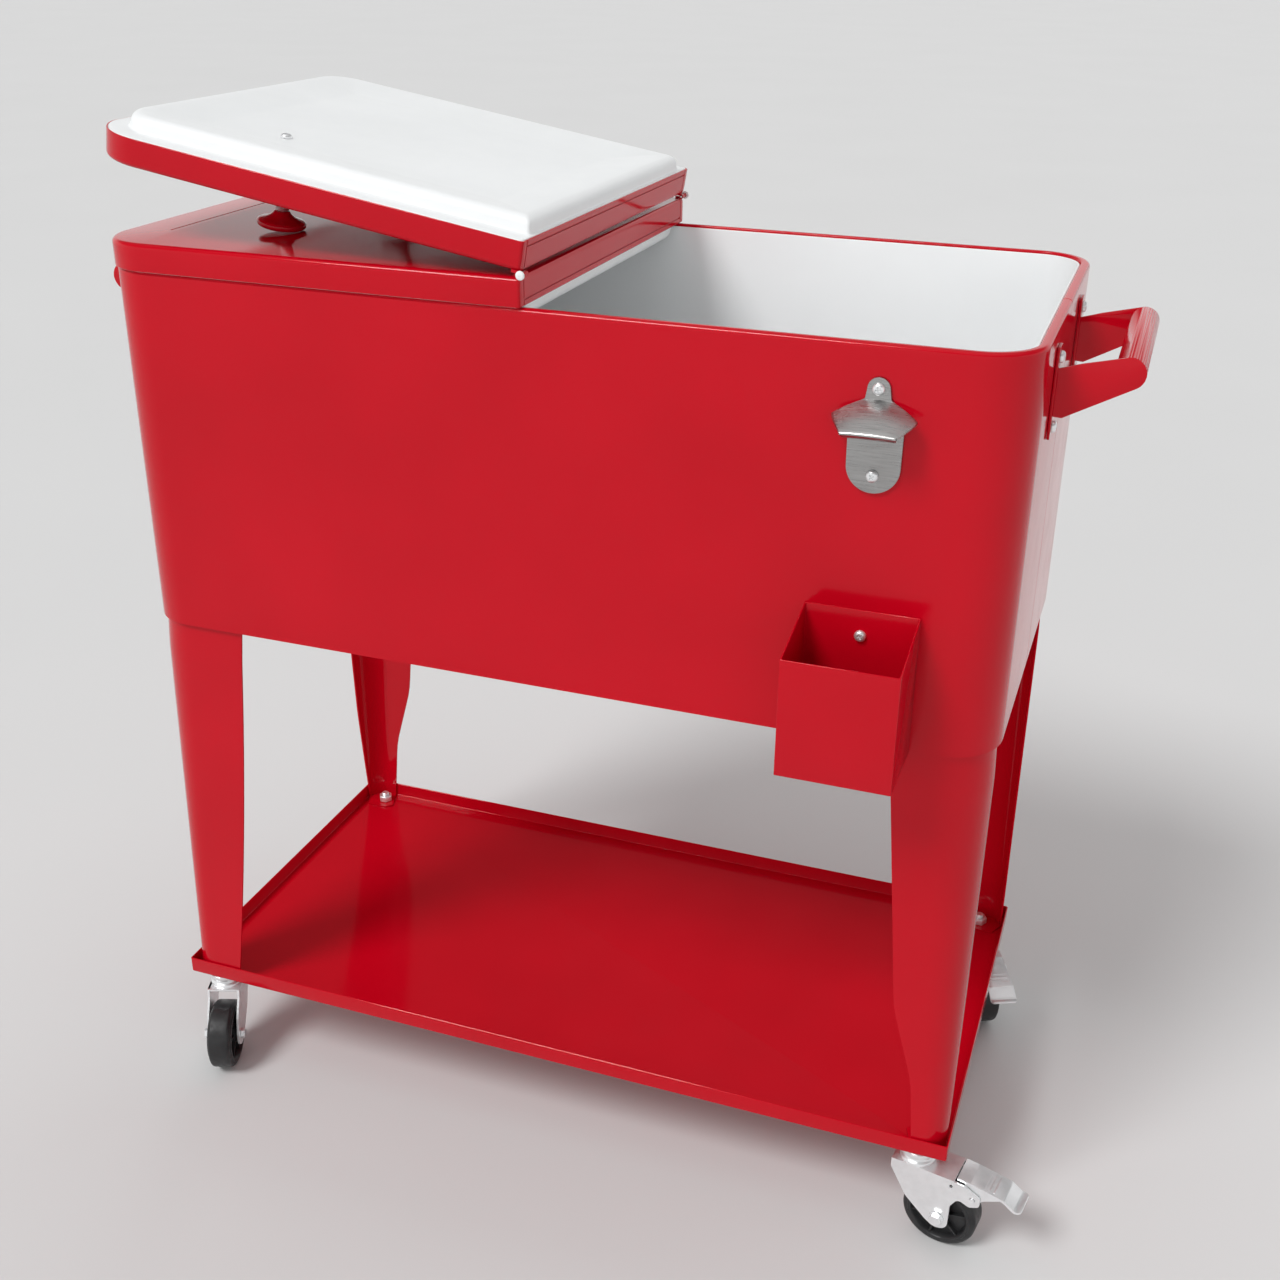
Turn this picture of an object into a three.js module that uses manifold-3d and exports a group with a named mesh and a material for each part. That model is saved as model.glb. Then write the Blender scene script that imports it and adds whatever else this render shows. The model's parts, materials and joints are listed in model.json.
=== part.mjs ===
// Patio cooler cart: an insulated tub on four legs, two half lids hinged to each other, a shelf tray
// and four swivel casters. Millimetres, Z up, the floor at z = 0, the front facing -Y.
import * as THREE from "three";
import { mergeVertices } from "three/addons/utils/BufferGeometryUtils.js";
import Module from "manifold-3d";

const wasm = await Module();
wasm.setup();

// ---------------------------------------------------------------- driving dimensions
const GAP = 0.3; // left between pieces that touch
const SHEET = 1.2; // steel sheet of the lids, tray, legs and catcher
const DEGREE = Math.PI / 180;

const TUB_LENGTH = 732;
const TUB_WIDTH = 367;
const TUB_CORNER = 44;
const RIM_Z = 773;
const SKIRT_Z = 471.8;
const RIM_BAND = 7.5;
const RIM_RETURN = 9;
const CASING_WALL = 1;
const BASE_Z = 499;
const LINER_WALL = 1.6;
const LINER_FLOOR_INSET = 22;
const FLOOR_FOAM = 18;
const FOAM_TOP_DROP = 14;
const SEAM_WIDTH = 0.8;

const LID_LENGTH = 368;
const LID_WIDTH = 371;
const LID_CORNER = 46;
const LID_HEIGHT = 21.5;
const LID_REST = 0.8; // skirt edge above the rim
const LID_ROUND = 4;
const HINGE_RISE = 2; // pin axis above the lid tops
const HINGE_GAP = 1.2; // each lid's end to the plane between them
const EAR_RADIUS = 1.7; // hinge ears, two on each lid
const EAR_WIDTH = 5;
const EAR_GAP = 0.4;
const PIN_RADIUS = 0.9;
const CAP_RADIUS = 3.4;
const CAP_HEIGHT = 2;
const PLUG_DEPTH = 12.5;
const DISH_DEPTH = 6; // the panel's middle is a shallow dish
const DISH_SLOPE = 38;
const DISH_BRIM = 3;
const PLUG_INSET = { far: 14, side: 19.5, hinge: 4 }; // from the lid's sides to the raised panel's
const PLUG_ROUND = 8;
const CREASE_X = 332;
const CREASE_LENGTH = 254;

const KNOB_X = 246;
const KNOB_Y = -95;
const KNOB_HEIGHT = 41.5;
const KNOB_RADIUS = 19.5;
const FERRULE_HEIGHT = 28;

const LEG_SHEET = 1.5;
const LEG_CORNER = 42; // bend radius at the top
const LEG_FOOT_CORNER = 19;
const LEG_INSET = 2.4;
const LEG_TOP_Z = 496;
const LEG_WIDE = { top: 96, foot: 49, bow: 4 };
const LEG_NARROW = { top: 77, foot: 27, steadyBelow: 165, kneeZ: 236, knee: 53 };
const LEG_END = { top: 42, foot: 15, kneeZ: 212, knee: 28 };

const TRAY_Z = 93.6;
const TRAY_LENGTH = 733;
const TRAY_WIDTH = 366;
const TRAY_LIP = 15.9;

const CASTER_X = 341;
const CASTER_Y = 164;
const WHEEL_RADIUS = 32.25;
const WHEEL_WIDTH = 23;
const CASTER_TRAIL = 26;
const STEM_RADIUS = 4;
const NUT_RADIUS = 7.5;
const FORK_PLATE = 2;
const FORK_GAP = 1.8; // wheel side to fork plate
const CROWN_Z = 78;
const PEDAL_X = 54; // brake pedal's pivot, along the trail
const PEDAL_Z = 65.5;

const HANDLE_HALF_SPAN = 82;
const HANDLE_SHEET = 2;
const GRIP_X = 416.5;
const GRIP_Z = 742.5;
const GRIP_RADIUS = 11.5;
const HANDLE_SCREWS_Z = [750, 699];
const SCREW_RADIUS = 2;

const OPENER_X = 261;
const OPENER_SCREWS_Z = [743, 681.5];
const OPENER_SHEET = 2.5;
const HOOD_TIP = 29.3; // half the width between the hood's pointed tips
const HOOD_LIP = 19.5;
const HOOD_OUT = 31.5;
const CATCHER_WIDTH = 85;
const CATCHER_DEPTH = 67;
const CATCHER_BACK = 109;
const CATCHER_FRONT = 92;
const CATCHER_Z = 471;
const CATCHER_SCREW_Z = 560;

const HALF_LENGTH = TUB_LENGTH / 2;
const HALF_WIDTH = TUB_WIDTH / 2;
const HINGE_Z = RIM_Z + LID_REST + LID_HEIGHT + HINGE_RISE;
const AXLE_HALF = WHEEL_WIDTH / 2 + FORK_GAP + FORK_PLATE;
const LINER_TOP_Z = RIM_Z - 2;
const LINER_INSET = RIM_BAND + GAP + 0.2;
const LINER_FLOOR_Z = BASE_Z + SHEET + FLOOR_FOAM;
const LID_TOP = -HINGE_RISE; // in the hinge frame
const LID_FOOT = LID_TOP - LID_HEIGHT;

// ---------------------------------------------------------------- colours
function finish(color, roughness, metalness) {
  return new THREE.MeshStandardMaterial({ color, roughness, metalness });
}

const paint = finish(0xb5091c, 0.25, 0.1);
const plastic = finish(0xeef1f2, 0.5, 0);
const foamWhite = finish(0xf4efe0, 0.9, 0);
const zinc = finish(0xc4c6c8, 0.3, 1);
const stainless = finish(0xb0b0ae, 0.35, 1);
const blackPlastic = finish(0x16171a, 0.5, 0);

// ---------------------------------------------------------------- shape helpers
// Joins triangles given as corner points, turning them round if the body came out inside out.
function bodyOf(triangles) {
  let volume = 0;
  for (const [a, b, c] of triangles) {
    volume += a[0] * (b[1] * c[2] - b[2] * c[1]);
    volume -= a[1] * (b[0] * c[2] - b[2] * c[0]);
    volume += a[2] * (b[0] * c[1] - b[1] * c[0]);
  }
  const facing = volume < 0 ? triangles.map(([a, b, c]) => [a, c, b]) : triangles;
  const geometry = new THREE.BufferGeometry();
  geometry.setAttribute("position", new THREE.Float32BufferAttribute(facing.flat(2), 3));
  geometry.computeVertexNormals();
  return geometry;
}

// The strip of triangles between two loops with the same number of points.
function strip(lower, upper, closed = true) {
  const count = closed ? lower.length : lower.length - 1;
  const triangles = [];
  for (let i = 0; i < count; i++) {
    const next = (i + 1) % lower.length;
    triangles.push([lower[i], lower[next], upper[next]]);
    triangles.push([lower[i], upper[next], upper[i]]);
  }
  return triangles;
}

// A flat cap over a loop, as a fan round its middle.
function cap(loop) {
  const middle = [0, 1, 2].map((axis) => loop.reduce((sum, p) => sum + p[axis], 0) / loop.length);
  return loop.map((point, i) => [middle, loop[(i + 1) % loop.length], point]);
}

// A body whose surface runs through the loops in turn, capped at both ends.
function skin(loops) {
  const triangles = cap(loops[0]);
  for (let i = 1; i < loops.length; i++) triangles.push(...strip(loops[i - 1], loops[i]));
  triangles.push(...cap([...loops.at(-1)].reverse()));
  return bodyOf(triangles);
}

// A body whose surface runs through the loops and back to the first one, like a hoop.
function hoop(loops) {
  return bodyOf(loops.flatMap((loop, i) => strip(loop, loops[(i + 1) % loops.length])));
}

// A sheet between two grids of points, closed along its four edges.
function sheet(front, back) {
  const triangles = [];
  for (let i = 1; i < front.length; i++) {
    triangles.push(...strip(front[i - 1], front[i], false));
    triangles.push(...strip(back[i], back[i - 1], false));
  }
  const rim = [[back[0], front[0]], [front.at(-1), back.at(-1)]];
  for (const [from, to] of rim) triangles.push(...strip(from, to, false));
  const column = (grid, at) => grid.map((row) => row.at(at));
  triangles.push(...strip(column(front, 0), column(back, 0), false));
  triangles.push(...strip(column(back, -1), column(front, -1), false));
  return bodyOf(triangles);
}

// A rounded rectangle at height z; corners is [radius, steps] for +X+Y, -X+Y, -X-Y and +X-Y.
function outline({ left, right, half, corners, z }) {
  const quarters = [[right, half], [left, half], [left, -half], [right, -half]];
  return quarters.flatMap(([x, y], q) => {
    const [radius, steps] = corners[q];
    const cx = x - Math.sign(x - (left + right) / 2) * radius;
    const cy = y - Math.sign(y) * radius;
    return Array.from({ length: steps + 1 }, (_, i) => {
      const turn = (q + i / steps) * 90 * DEGREE;
      return [cx + radius * Math.cos(turn), cy + radius * Math.sin(turn), z];
    });
  });
}

// The tub's outline, drawn in by an inset.
function tubLoop(inset, z) {
  const radius = Math.max(TUB_CORNER - inset, 6);
  const corners = Array(4).fill([radius, 7]);
  const right = HALF_LENGTH - inset;
  return outline({ left: -right, right, half: HALF_WIDTH - inset, corners, z });
}

// A half lid's outline in the hinge frame: its hinge end at x = 0, rounded at the far corners.
function lidLoop(inset, hingeInset, z, sideInset = inset) {
  const far = [Math.max(LID_CORNER - inset, 4), 7];
  const near = [2.5, 2];
  const corners = [far, near, near, far];
  const half = LID_WIDTH / 2 - sideInset;
  return outline({ left: HINGE_GAP + hingeInset, right: LID_LENGTH - inset, half, corners, z });
}

// A circle of the given radius at height z.
function circle(radius, z, steps) {
  return Array.from({ length: steps }, (_, i) => {
    const turn = (i / steps) * 2 * Math.PI;
    return [radius * Math.cos(turn), radius * Math.sin(turn), z];
  });
}

// A solid of revolution about Z through [radius, z] points, closed flat at both ends.
function turned(profile, steps = 16) {
  return skin(profile.map(([radius, z]) => circle(radius, z, steps)));
}

// A ring-shaped solid of revolution: the profile closes on itself off the axis.
function turnedRing(profile, steps = 16) {
  return hoop(profile.map(([radius, z]) => circle(radius, z, steps)));
}

// A flat shape given by [x, y] corners, thickened along +Z.
function plate(corners, thickness) {
  const shape = new THREE.Shape(corners.map(([x, y]) => new THREE.Vector2(x, y)));
  return new THREE.ExtrudeGeometry(shape, { depth: thickness, bevelEnabled: false });
}

// A cylinder along Z centred on a point.
function upright(radius, length, x, y, z, steps = 14) {
  return new THREE.CylinderGeometry(radius, radius, length, steps).rotateX(90 * DEGREE).translate(x, y, z);
}

// A box between two opposite corners.
function block(low, high) {
  const size = high.map((value, i) => value - low[i]);
  const middle = high.map((value, i) => (value + low[i]) / 2);
  return new THREE.BoxGeometry(...size).translate(...middle);
}

function solid(geometry) {
  const bare = new THREE.BufferGeometry();
  const flat = geometry.index ? geometry.toNonIndexed() : geometry;
  bare.setAttribute("position", flat.getAttribute("position"));
  const merged = mergeVertices(bare, 1e-4);
  const vertProperties = new Float32Array(merged.attributes.position.array);
  const triVerts = new Uint32Array(merged.index.array);
  return new wasm.Manifold(new wasm.Mesh({ numProp: 3, vertProperties, triVerts }));
}

function geometryOf(manifold) {
  const mesh = manifold.getMesh();
  const geometry = new THREE.BufferGeometry();
  geometry.setAttribute("position", new THREE.BufferAttribute(new Float32Array(mesh.vertProperties), 3));
  geometry.setIndex(new THREE.BufferAttribute(new Uint32Array(mesh.triVerts), 1));
  const flat = geometry.toNonIndexed();
  flat.computeVertexNormals();
  return flat;
}

function join(...pieces) {
  return geometryOf(pieces.map(solid).reduce((sum, piece) => sum.add(piece)));
}

function cut(body, ...tools) {
  return geometryOf(tools.map(solid).reduce((rest, tool) => rest.subtract(tool), solid(body)));
}

function node(name, geometry, material) {
  const mesh = new THREE.Mesh(geometry, material);
  mesh.name = name;
  return mesh;
}

function groupOf(...children) {
  const group = new THREE.Group();
  group.add(...children);
  return group;
}

// ---------------------------------------------------------------- tub
// Cylinders through the casing wall for the screws of the handles, opener and catcher.
function screwHoles() {
  const radius = SCREW_RADIUS + GAP;
  const hole = () => new THREE.CylinderGeometry(radius, radius, 8, 10);
  const ends = [-1, 1].flatMap((end) =>
    [-1, 1].flatMap((side) =>
      HANDLE_SCREWS_Z.map((z) =>
        hole().rotateZ(90 * DEGREE).translate(end * HALF_LENGTH, side * HANDLE_HALF_SPAN, z))));
  const front = [...OPENER_SCREWS_Z, CATCHER_SCREW_Z].map((z) =>
    hole().translate(OPENER_X, -HALF_WIDTH, z));
  return [...ends, ...front];
}

// The outer steel wall: open below, its top edge folded in over the liner and down.
function outerCasing() {
  const inner = CASING_WALL;
  const loops = [
    tubLoop(0, SKIRT_Z),
    tubLoop(0, RIM_Z - 3),
    tubLoop(0.9, RIM_Z - 0.9),
    tubLoop(3, RIM_Z),
    tubLoop(RIM_BAND - 1, RIM_Z),
    tubLoop(RIM_BAND, RIM_Z - 1),
    tubLoop(RIM_BAND, RIM_Z - RIM_RETURN),
    tubLoop(RIM_BAND - inner, RIM_Z - RIM_RETURN),
    tubLoop(RIM_BAND - inner, RIM_Z - 1.6),
    tubLoop(3, RIM_Z - 1.6),
    tubLoop(inner, RIM_Z - 3.6),
    tubLoop(inner, SKIRT_Z),
  ];
  const seams = [-1, 1].map((end) => {
    const x = end * HALF_LENGTH;
    return block([x - 0.5, -SEAM_WIDTH / 2, SKIRT_Z - 1], [x + 0.5, SEAM_WIDTH / 2, RIM_Z - 4]);
  });
  return node("outer_casing", cut(hoop(loops), ...seams, ...screwHoles()), paint);
}

// How far in the liner's outer face stands at height z: it leans inwards towards the floor.
function linerInset(z) {
  const share = (LINER_TOP_Z - z) / (LINER_TOP_Z - LINER_FLOOR_Z);
  return LINER_INSET + share * (LINER_FLOOR_INSET - LINER_INSET);
}

// The white basin, with a rounded edge round its floor.
function innerLiner() {
  const wall = LINER_WALL;
  const rounding = [0, 30, 60, 90].map((turn) => turn * DEGREE);
  const bend = (radius, z0, extra) =>
    rounding.map((turn) => {
      const z = z0 + radius * (1 - Math.cos(turn));
      return tubLoop(linerInset(z0 + radius) + extra + radius * (1 - Math.sin(turn)), z);
    });
  const loops = [
    ...bend(14, LINER_FLOOR_Z, 0),
    tubLoop(linerInset(LINER_TOP_Z), LINER_TOP_Z),
    tubLoop(linerInset(LINER_TOP_Z) + wall, LINER_TOP_Z),
    ...bend(14 - wall, LINER_FLOOR_Z + wall, wall).reverse(),
  ];
  return node("inner_liner", skin(loops), plastic);
}

// The foam between the casing and the liner, under the floor as well.
function insulation() {
  const side = CASING_WALL + 0.6;
  const top = RIM_Z - FOAM_TOP_DROP;
  const floor = LINER_FLOOR_Z - GAP;
  const loops = [
    tubLoop(side, BASE_Z + SHEET + GAP),
    tubLoop(side, top),
    tubLoop(linerInset(top) - GAP, top),
    tubLoop(linerInset(floor + 14) - GAP, floor + 14),
    tubLoop(linerInset(floor + 14) - GAP, floor),
  ];
  return node("foam_insulation", skin(loops), foamWhite);
}

function basePlate() {
  const side = CASING_WALL + GAP;
  return node("base_plate", skin([tubLoop(side, BASE_Z), tubLoop(side, BASE_Z + SHEET)]), paint);
}

// ---------------------------------------------------------------- legs and tray
// A value that runs straight between [height, value] points, highest first.
function along(points, z) {
  const next = points.findIndex(([height]) => height <= z);
  if (next < 0) return points.at(-1)[1];
  if (next === 0) return points[0][1];
  const [[highZ, high], [lowZ, low]] = [points[next - 1], points[next]];
  return low + ((z - lowZ) / (highZ - lowZ)) * (high - low);
}

// Flange widths, measured from the leg's outer corner. They taper from the skirt to the foot.
function wideFlange(z) {
  const share = (z - TRAY_Z) / (LEG_TOP_Z - TRAY_Z);
  const bow = LEG_WIDE.bow * 4 * share * (1 - share);
  return LEG_WIDE.foot + share * (LEG_WIDE.top - LEG_WIDE.foot) + bow;
}

function narrowFlange(z) {
  const { top, foot, steadyBelow, kneeZ, knee } = LEG_NARROW;
  return along([[LEG_TOP_Z, top], [kneeZ, knee], [steadyBelow, foot + 6], [TRAY_Z, foot]], z);
}

function endFlange(z) {
  const { top, foot, kneeZ, knee } = LEG_END;
  return along([[LEG_TOP_Z, top], [kneeZ, knee], [TRAY_Z, foot]], z);
}

// Points along the leg's bent section at height z, from the edge of one flange to the other's.
function legPath(z, inset, alongX, alongY, steps = 10) {
  const share = (z - TRAY_Z) / (LEG_TOP_Z - TRAY_Z);
  const corner = LEG_FOOT_CORNER + share * (LEG_CORNER - LEG_FOOT_CORNER);
  const radius = corner - inset;
  const reach = [alongX, alongY].map((width) => width - corner);
  const flat = reach.map((length) => Math.max(length, 0));
  const missing = reach.map((length) => Math.asin(Math.max(-length, 0) / corner));
  const arc = radius * (90 * DEGREE - missing[0] - missing[1]);
  const total = flat[0] + arc + flat[1];
  const cx = HALF_LENGTH - LEG_INSET - corner;
  const cy = HALF_WIDTH - LEG_INSET - corner;
  return Array.from({ length: steps + 1 }, (_, i) => {
    const at = (i / steps) * total;
    if (at < flat[0]) return [cx - flat[0] + at, cy + radius, z];
    if (at > flat[0] + arc) return [cx + radius, cy - (at - flat[0] - arc), z];
    const turn = 90 * DEGREE - missing[0] - (at - flat[0]) / radius;
    return [cx + radius * Math.cos(turn), cy + radius * Math.sin(turn), z];
  });
}

// A leg for the +X +Y corner: bent sheet with a foot plate the caster stem comes up through.
function legBody(flange) {
  const footZ = TRAY_Z + SHEET + GAP;
  const heights = [footZ, 120, 145, LEG_NARROW.steadyBelow, LEG_END.kneeZ, LEG_NARROW.kneeZ, 330, LEG_TOP_Z];
  const outer = heights.map((z) => legPath(z, 0, flange(z), endFlange(z)));
  const inner = heights.map((z) => legPath(z, LEG_SHEET, flange(z), endFlange(z)));
  const edge = legPath(footZ, 0.4, flange(footZ), endFlange(footZ)).map(([x, y]) => [x, y]);
  const tongue = [
    [HALF_LENGTH - 10, CASTER_Y - 13],
    [CASTER_X - 6, CASTER_Y - 13],
    [CASTER_X - 13, CASTER_Y - 7],
  ];
  const foot = plate([...edge, ...tongue], LEG_SHEET).translate(0, 0, footZ);
  const hole = upright(STEM_RADIUS + 0.5, 9, CASTER_X, CASTER_Y, footZ);
  return cut(join(sheet(outer, inner), foot), hole);
}

const CORNERS = [
  { name: "front_left", x: -1, y: -1, flange: wideFlange, heading: -70 },
  { name: "front_right", x: 1, y: -1, flange: narrowFlange, heading: -10, brake: true },
  { name: "rear_left", x: -1, y: 1, flange: narrowFlange, heading: 195 },
  { name: "rear_right", x: 1, y: 1, flange: wideFlange, heading: -64, brake: true },
];

function leg({ name, x, y, flange }) {
  const mesh = node(name + "_leg", legBody(flange), paint);
  mesh.scale.set(x, y, 1);
  return mesh;
}

function shelfTray() {
  const x = TRAY_LENGTH / 2;
  const y = TRAY_WIDTH / 2;
  const pan = block([-x, -y, TRAY_Z], [x, y, TRAY_Z + TRAY_LIP]);
  const inside = block([SHEET - x, SHEET - y, TRAY_Z + SHEET], [x - SHEET, y - SHEET, TRAY_Z + TRAY_LIP + 1]);
  const holes = CORNERS.map((corner) =>
    upright(STEM_RADIUS + 0.5, 6, corner.x * CASTER_X, corner.y * CASTER_Y, TRAY_Z));
  return node("shelf_tray", cut(pan, inside, ...holes), paint);
}

// ---------------------------------------------------------------- casters
// The fixed head: a threaded stem, the bearing cup and the pin the fork turns on.
function casterHead() {
  const top = TRAY_Z - GAP;
  return turned([
    [STEM_RADIUS, TRAY_Z + 13],
    [STEM_RADIUS, top],
    [14.5, top],
    [16.5, top - 3],
    [16.5, top - 7.5],
    [15, top - 9],
    [5, top - 9],
    [5, CROWN_Z - 3],
    [8.5, CROWN_Z - 3],
    [7, CROWN_Z - 6],
  ]);
}

// The fork's side shape in the plane of the wheel: [along the trail, height].
function forkSide(brake) {
  const heel = [[-18, CROWN_Z], [-18, CROWN_Z - 10], [-4, 46]];
  const lobe = [[CASTER_TRAIL - 9, 28], [CASTER_TRAIL - 5, 23.5]];
  const toe = [[CASTER_TRAIL, 22.5], [CASTER_TRAIL + 6, 25.5], [CASTER_TRAIL + 9, 32.2]];
  const plain = [[CASTER_TRAIL + 6, 52], [20, 68], [18, CROWN_Z]];
  const braked = [[36, 50], [41, 60], [48, 61], [53, 58.5], [60, 61], [60, 69], [46, 76], [18, CROWN_Z]];
  return [...heel, ...lobe, ...toe, ...(brake ? braked : plain)];
}

// Crown plate and two sides in one bent piece, bored for the pin, the axle and the pedal pivot.
function forkBody(brake) {
  const inside = AXLE_HALF - FORK_PLATE;
  const side = (at) => plate(forkSide(brake), FORK_PLATE).rotateX(90 * DEGREE).translate(0, at, 0);
  const crown = block([-18, -AXLE_HALF, CROWN_Z - 2], [brake ? 37 : 18, AXLE_HALF, CROWN_Z]);
  const race = turned([[15.5, CROWN_Z - 1], [15.5, CROWN_Z + 3], [13, CROWN_Z + 5.4]]);
  const bore = upright(5.5, 30, 0, 0, CROWN_Z);
  const across = (radius, x, z) =>
    new THREE.CylinderGeometry(radius, radius, 60, 12).translate(x, 0, z);
  const bores = [bore, across(3.3, CASTER_TRAIL, WHEEL_RADIUS)];
  if (brake) bores.push(across(2.3, PEDAL_X, PEDAL_Z));
  return cut(join(crown, race, side(AXLE_HALF), side(-inside)), ...bores);
}

// The wheel about its own axle, which runs along Z: tread, dished sides and a hub with a bore.
function wheelBody() {
  const half = WHEEL_WIDTH / 2;
  const r = WHEEL_RADIUS;
  const side = [[3.4, 1], [8.5, 1], [8.5, 0.62], [r - 8, 0.62], [r - 6, 1], [r - 2.5, 1], [r, 0.74]];
  const upper = side.map(([radius, share]) => [radius, share * half]);
  const lower = side.map(([radius, share]) => [radius, -share * half]).reverse();
  return turnedRing([...upper, ...lower], 24);
}

// A hex-headed bolt along Z with a round nut end, through the fork and the wheel.
function axleBolt() {
  const reach = AXLE_HALF + GAP;
  return turned([
    [5.6, reach + 4.5],
    [6.2, reach + 3.5],
    [6.2, reach],
    [3, reach],
    [3, -reach],
    [5.2, -reach],
    [5.2, -reach - 3],
    [3.2, -reach - 3.6],
  ], 12);
}

// The brake pedal: a bent channel on its own pivot pin between the fork's sides.
function pedalBody() {
  const half = AXLE_HALF - FORK_PLATE - 0.5;
  const top = [[39, 78.5], [50, 77.5], [78, 73], [88, 66], [94, 66.5]];
  const under = [[94.5, 68.5], [89, 68.2], [79, 75.2], [50.5, 79.7], [39, 80.7]];
  const tread = plate([...top, ...under], 2 * half).rotateX(90 * DEGREE).translate(0, half, 0);
  const ear = [[46, 79.5], [46, 64], [50, 60], [57, 60], [62, 66], [78, 74.2]];
  const ears = [half, 1.6 - half].map((at) => plate(ear, 1.6).rotateX(90 * DEGREE).translate(0, at, 0));
  const pin = new THREE.CylinderGeometry(2, 2, 2 * AXLE_HALF + 2, 12).translate(PEDAL_X, 0, PEDAL_Z);
  return join(tread, ...ears, pin);
}

function caster(corner) {
  const { name, x, y, heading, brake } = corner;
  const head = node(name + "_caster_head", casterHead(), zinc);
  const nut = node(name + "_stem_nut", stemNut(), zinc);
  const fork = node(name + "_caster_fork", forkBody(brake), zinc);
  const wheel = node(name + "_wheel", wheelBody(), blackPlastic);
  const axle = node(name + "_axle", axleBolt(), zinc);
  for (const mesh of [wheel, axle]) {
    mesh.position.set(CASTER_TRAIL, 0, WHEEL_RADIUS);
    mesh.rotation.x = 90 * DEGREE;
  }
  const turning = groupOf(fork, wheel, axle);
  if (brake) turning.add(node(name + "_brake_pedal", pedalBody(), zinc));
  turning.rotation.z = heading * DEGREE;
  const whole = groupOf(head, nut, turning);
  whole.position.set(x * CASTER_X, y * CASTER_Y, 0);
  return whole;
}

function stemNut() {
  const bottom = TRAY_Z + SHEET + GAP + 1.5 + GAP;
  const hex = plate(circle(NUT_RADIUS, 0, 6), 6.5).translate(0, 0, bottom);
  return cut(hex, upright(STEM_RADIUS + GAP, 30, 0, 0, bottom));
}

// ---------------------------------------------------------------- lids
// The painted half lid in the hinge frame, with its two hinge ears and a pressed line. The outer ear is
// at one end and the inner ear at the other, so that two lids facing each other interlock.
function lidShell() {
  const wall = SHEET;
  const outside = [
    lidLoop(LID_ROUND, 1, LID_TOP),
    lidLoop(LID_ROUND * 0.5, 0.5, LID_TOP - LID_ROUND * 0.13),
    lidLoop(LID_ROUND * 0.13, 0.2, LID_TOP - LID_ROUND * 0.5),
    lidLoop(0, 0, LID_TOP - LID_ROUND),
    lidLoop(0, 0, LID_FOOT),
  ];
  const inside = [
    lidLoop(wall, wall, LID_FOOT),
    lidLoop(wall, wall, LID_TOP - LID_ROUND),
    lidLoop(LID_ROUND, wall + 1, LID_TOP - wall),
  ];
  const end = LID_WIDTH / 2;
  const ears = [ear(-end, EAR_WIDTH - end), ear(end - 2 * EAR_WIDTH - EAR_GAP, end - EAR_WIDTH - EAR_GAP)];
  const low = [CREASE_X - 0.5, -CREASE_LENGTH / 2, LID_TOP - 0.4];
  const crease = block(low, [CREASE_X + 0.5, CREASE_LENGTH / 2, 0]);
  const hole = upright(2.8, 8, KNOB_X, KNOB_Y, LID_TOP);
  return cut(join(skin([...outside, ...inside]), ...ears), crease, hole, pinBore());
}

// One hinge ear: an eye round the pin, with the web that ties it to the lid's top.
function ear(from, to) {
  const eye = new THREE.CylinderGeometry(EAR_RADIUS, EAR_RADIUS, to - from, 16);
  eye.translate(0, (from + to) / 2, 0);
  const web = block([0.9, from, LID_TOP - 0.8], [7.5, to, -0.6]);
  return join(eye, web);
}

function pinBore() {
  return new THREE.CylinderGeometry(PIN_RADIUS + GAP, PIN_RADIUS + GAP, LID_WIDTH + 20, 12);
}

// The white underside: a flange inside the skirt and a raised, dished panel that enters the basin.
function lidLiner() {
  const wall = 1.5;
  const flange = LID_FOOT - 0.5;
  const floor = flange - PLUG_DEPTH;
  const r = PLUG_ROUND;
  const edge = SHEET + GAP;
  const { far, side, hinge } = PLUG_INSET;
  const panel = (inset, z) => lidLoop(far + inset, hinge + inset, z, side + inset);
  const over = [
    panel(r + DISH_BRIM + DISH_SLOPE, floor + DISH_DEPTH + wall),
    panel(r + DISH_BRIM, floor + wall),
    panel(wall + 0.6, floor + r),
    panel(wall, flange + wall - 1),
    lidLoop(edge, edge, flange + wall),
  ];
  const under = [
    lidLoop(edge, edge, flange),
    panel(-2, flange),
    panel(-0.6, flange - 0.6),
    panel(0, flange - 2),
    panel(0.6, floor + r),
    panel(2.4, floor + r * 0.4),
    panel(r, floor),
    panel(r + DISH_BRIM, floor),
    panel(r + DISH_BRIM + DISH_SLOPE, floor + DISH_DEPTH),
  ];
  const hole = upright(2.8, 30, KNOB_X, KNOB_Y, floor);
  return cut(skin([...over, ...under]), hole);
}

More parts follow.
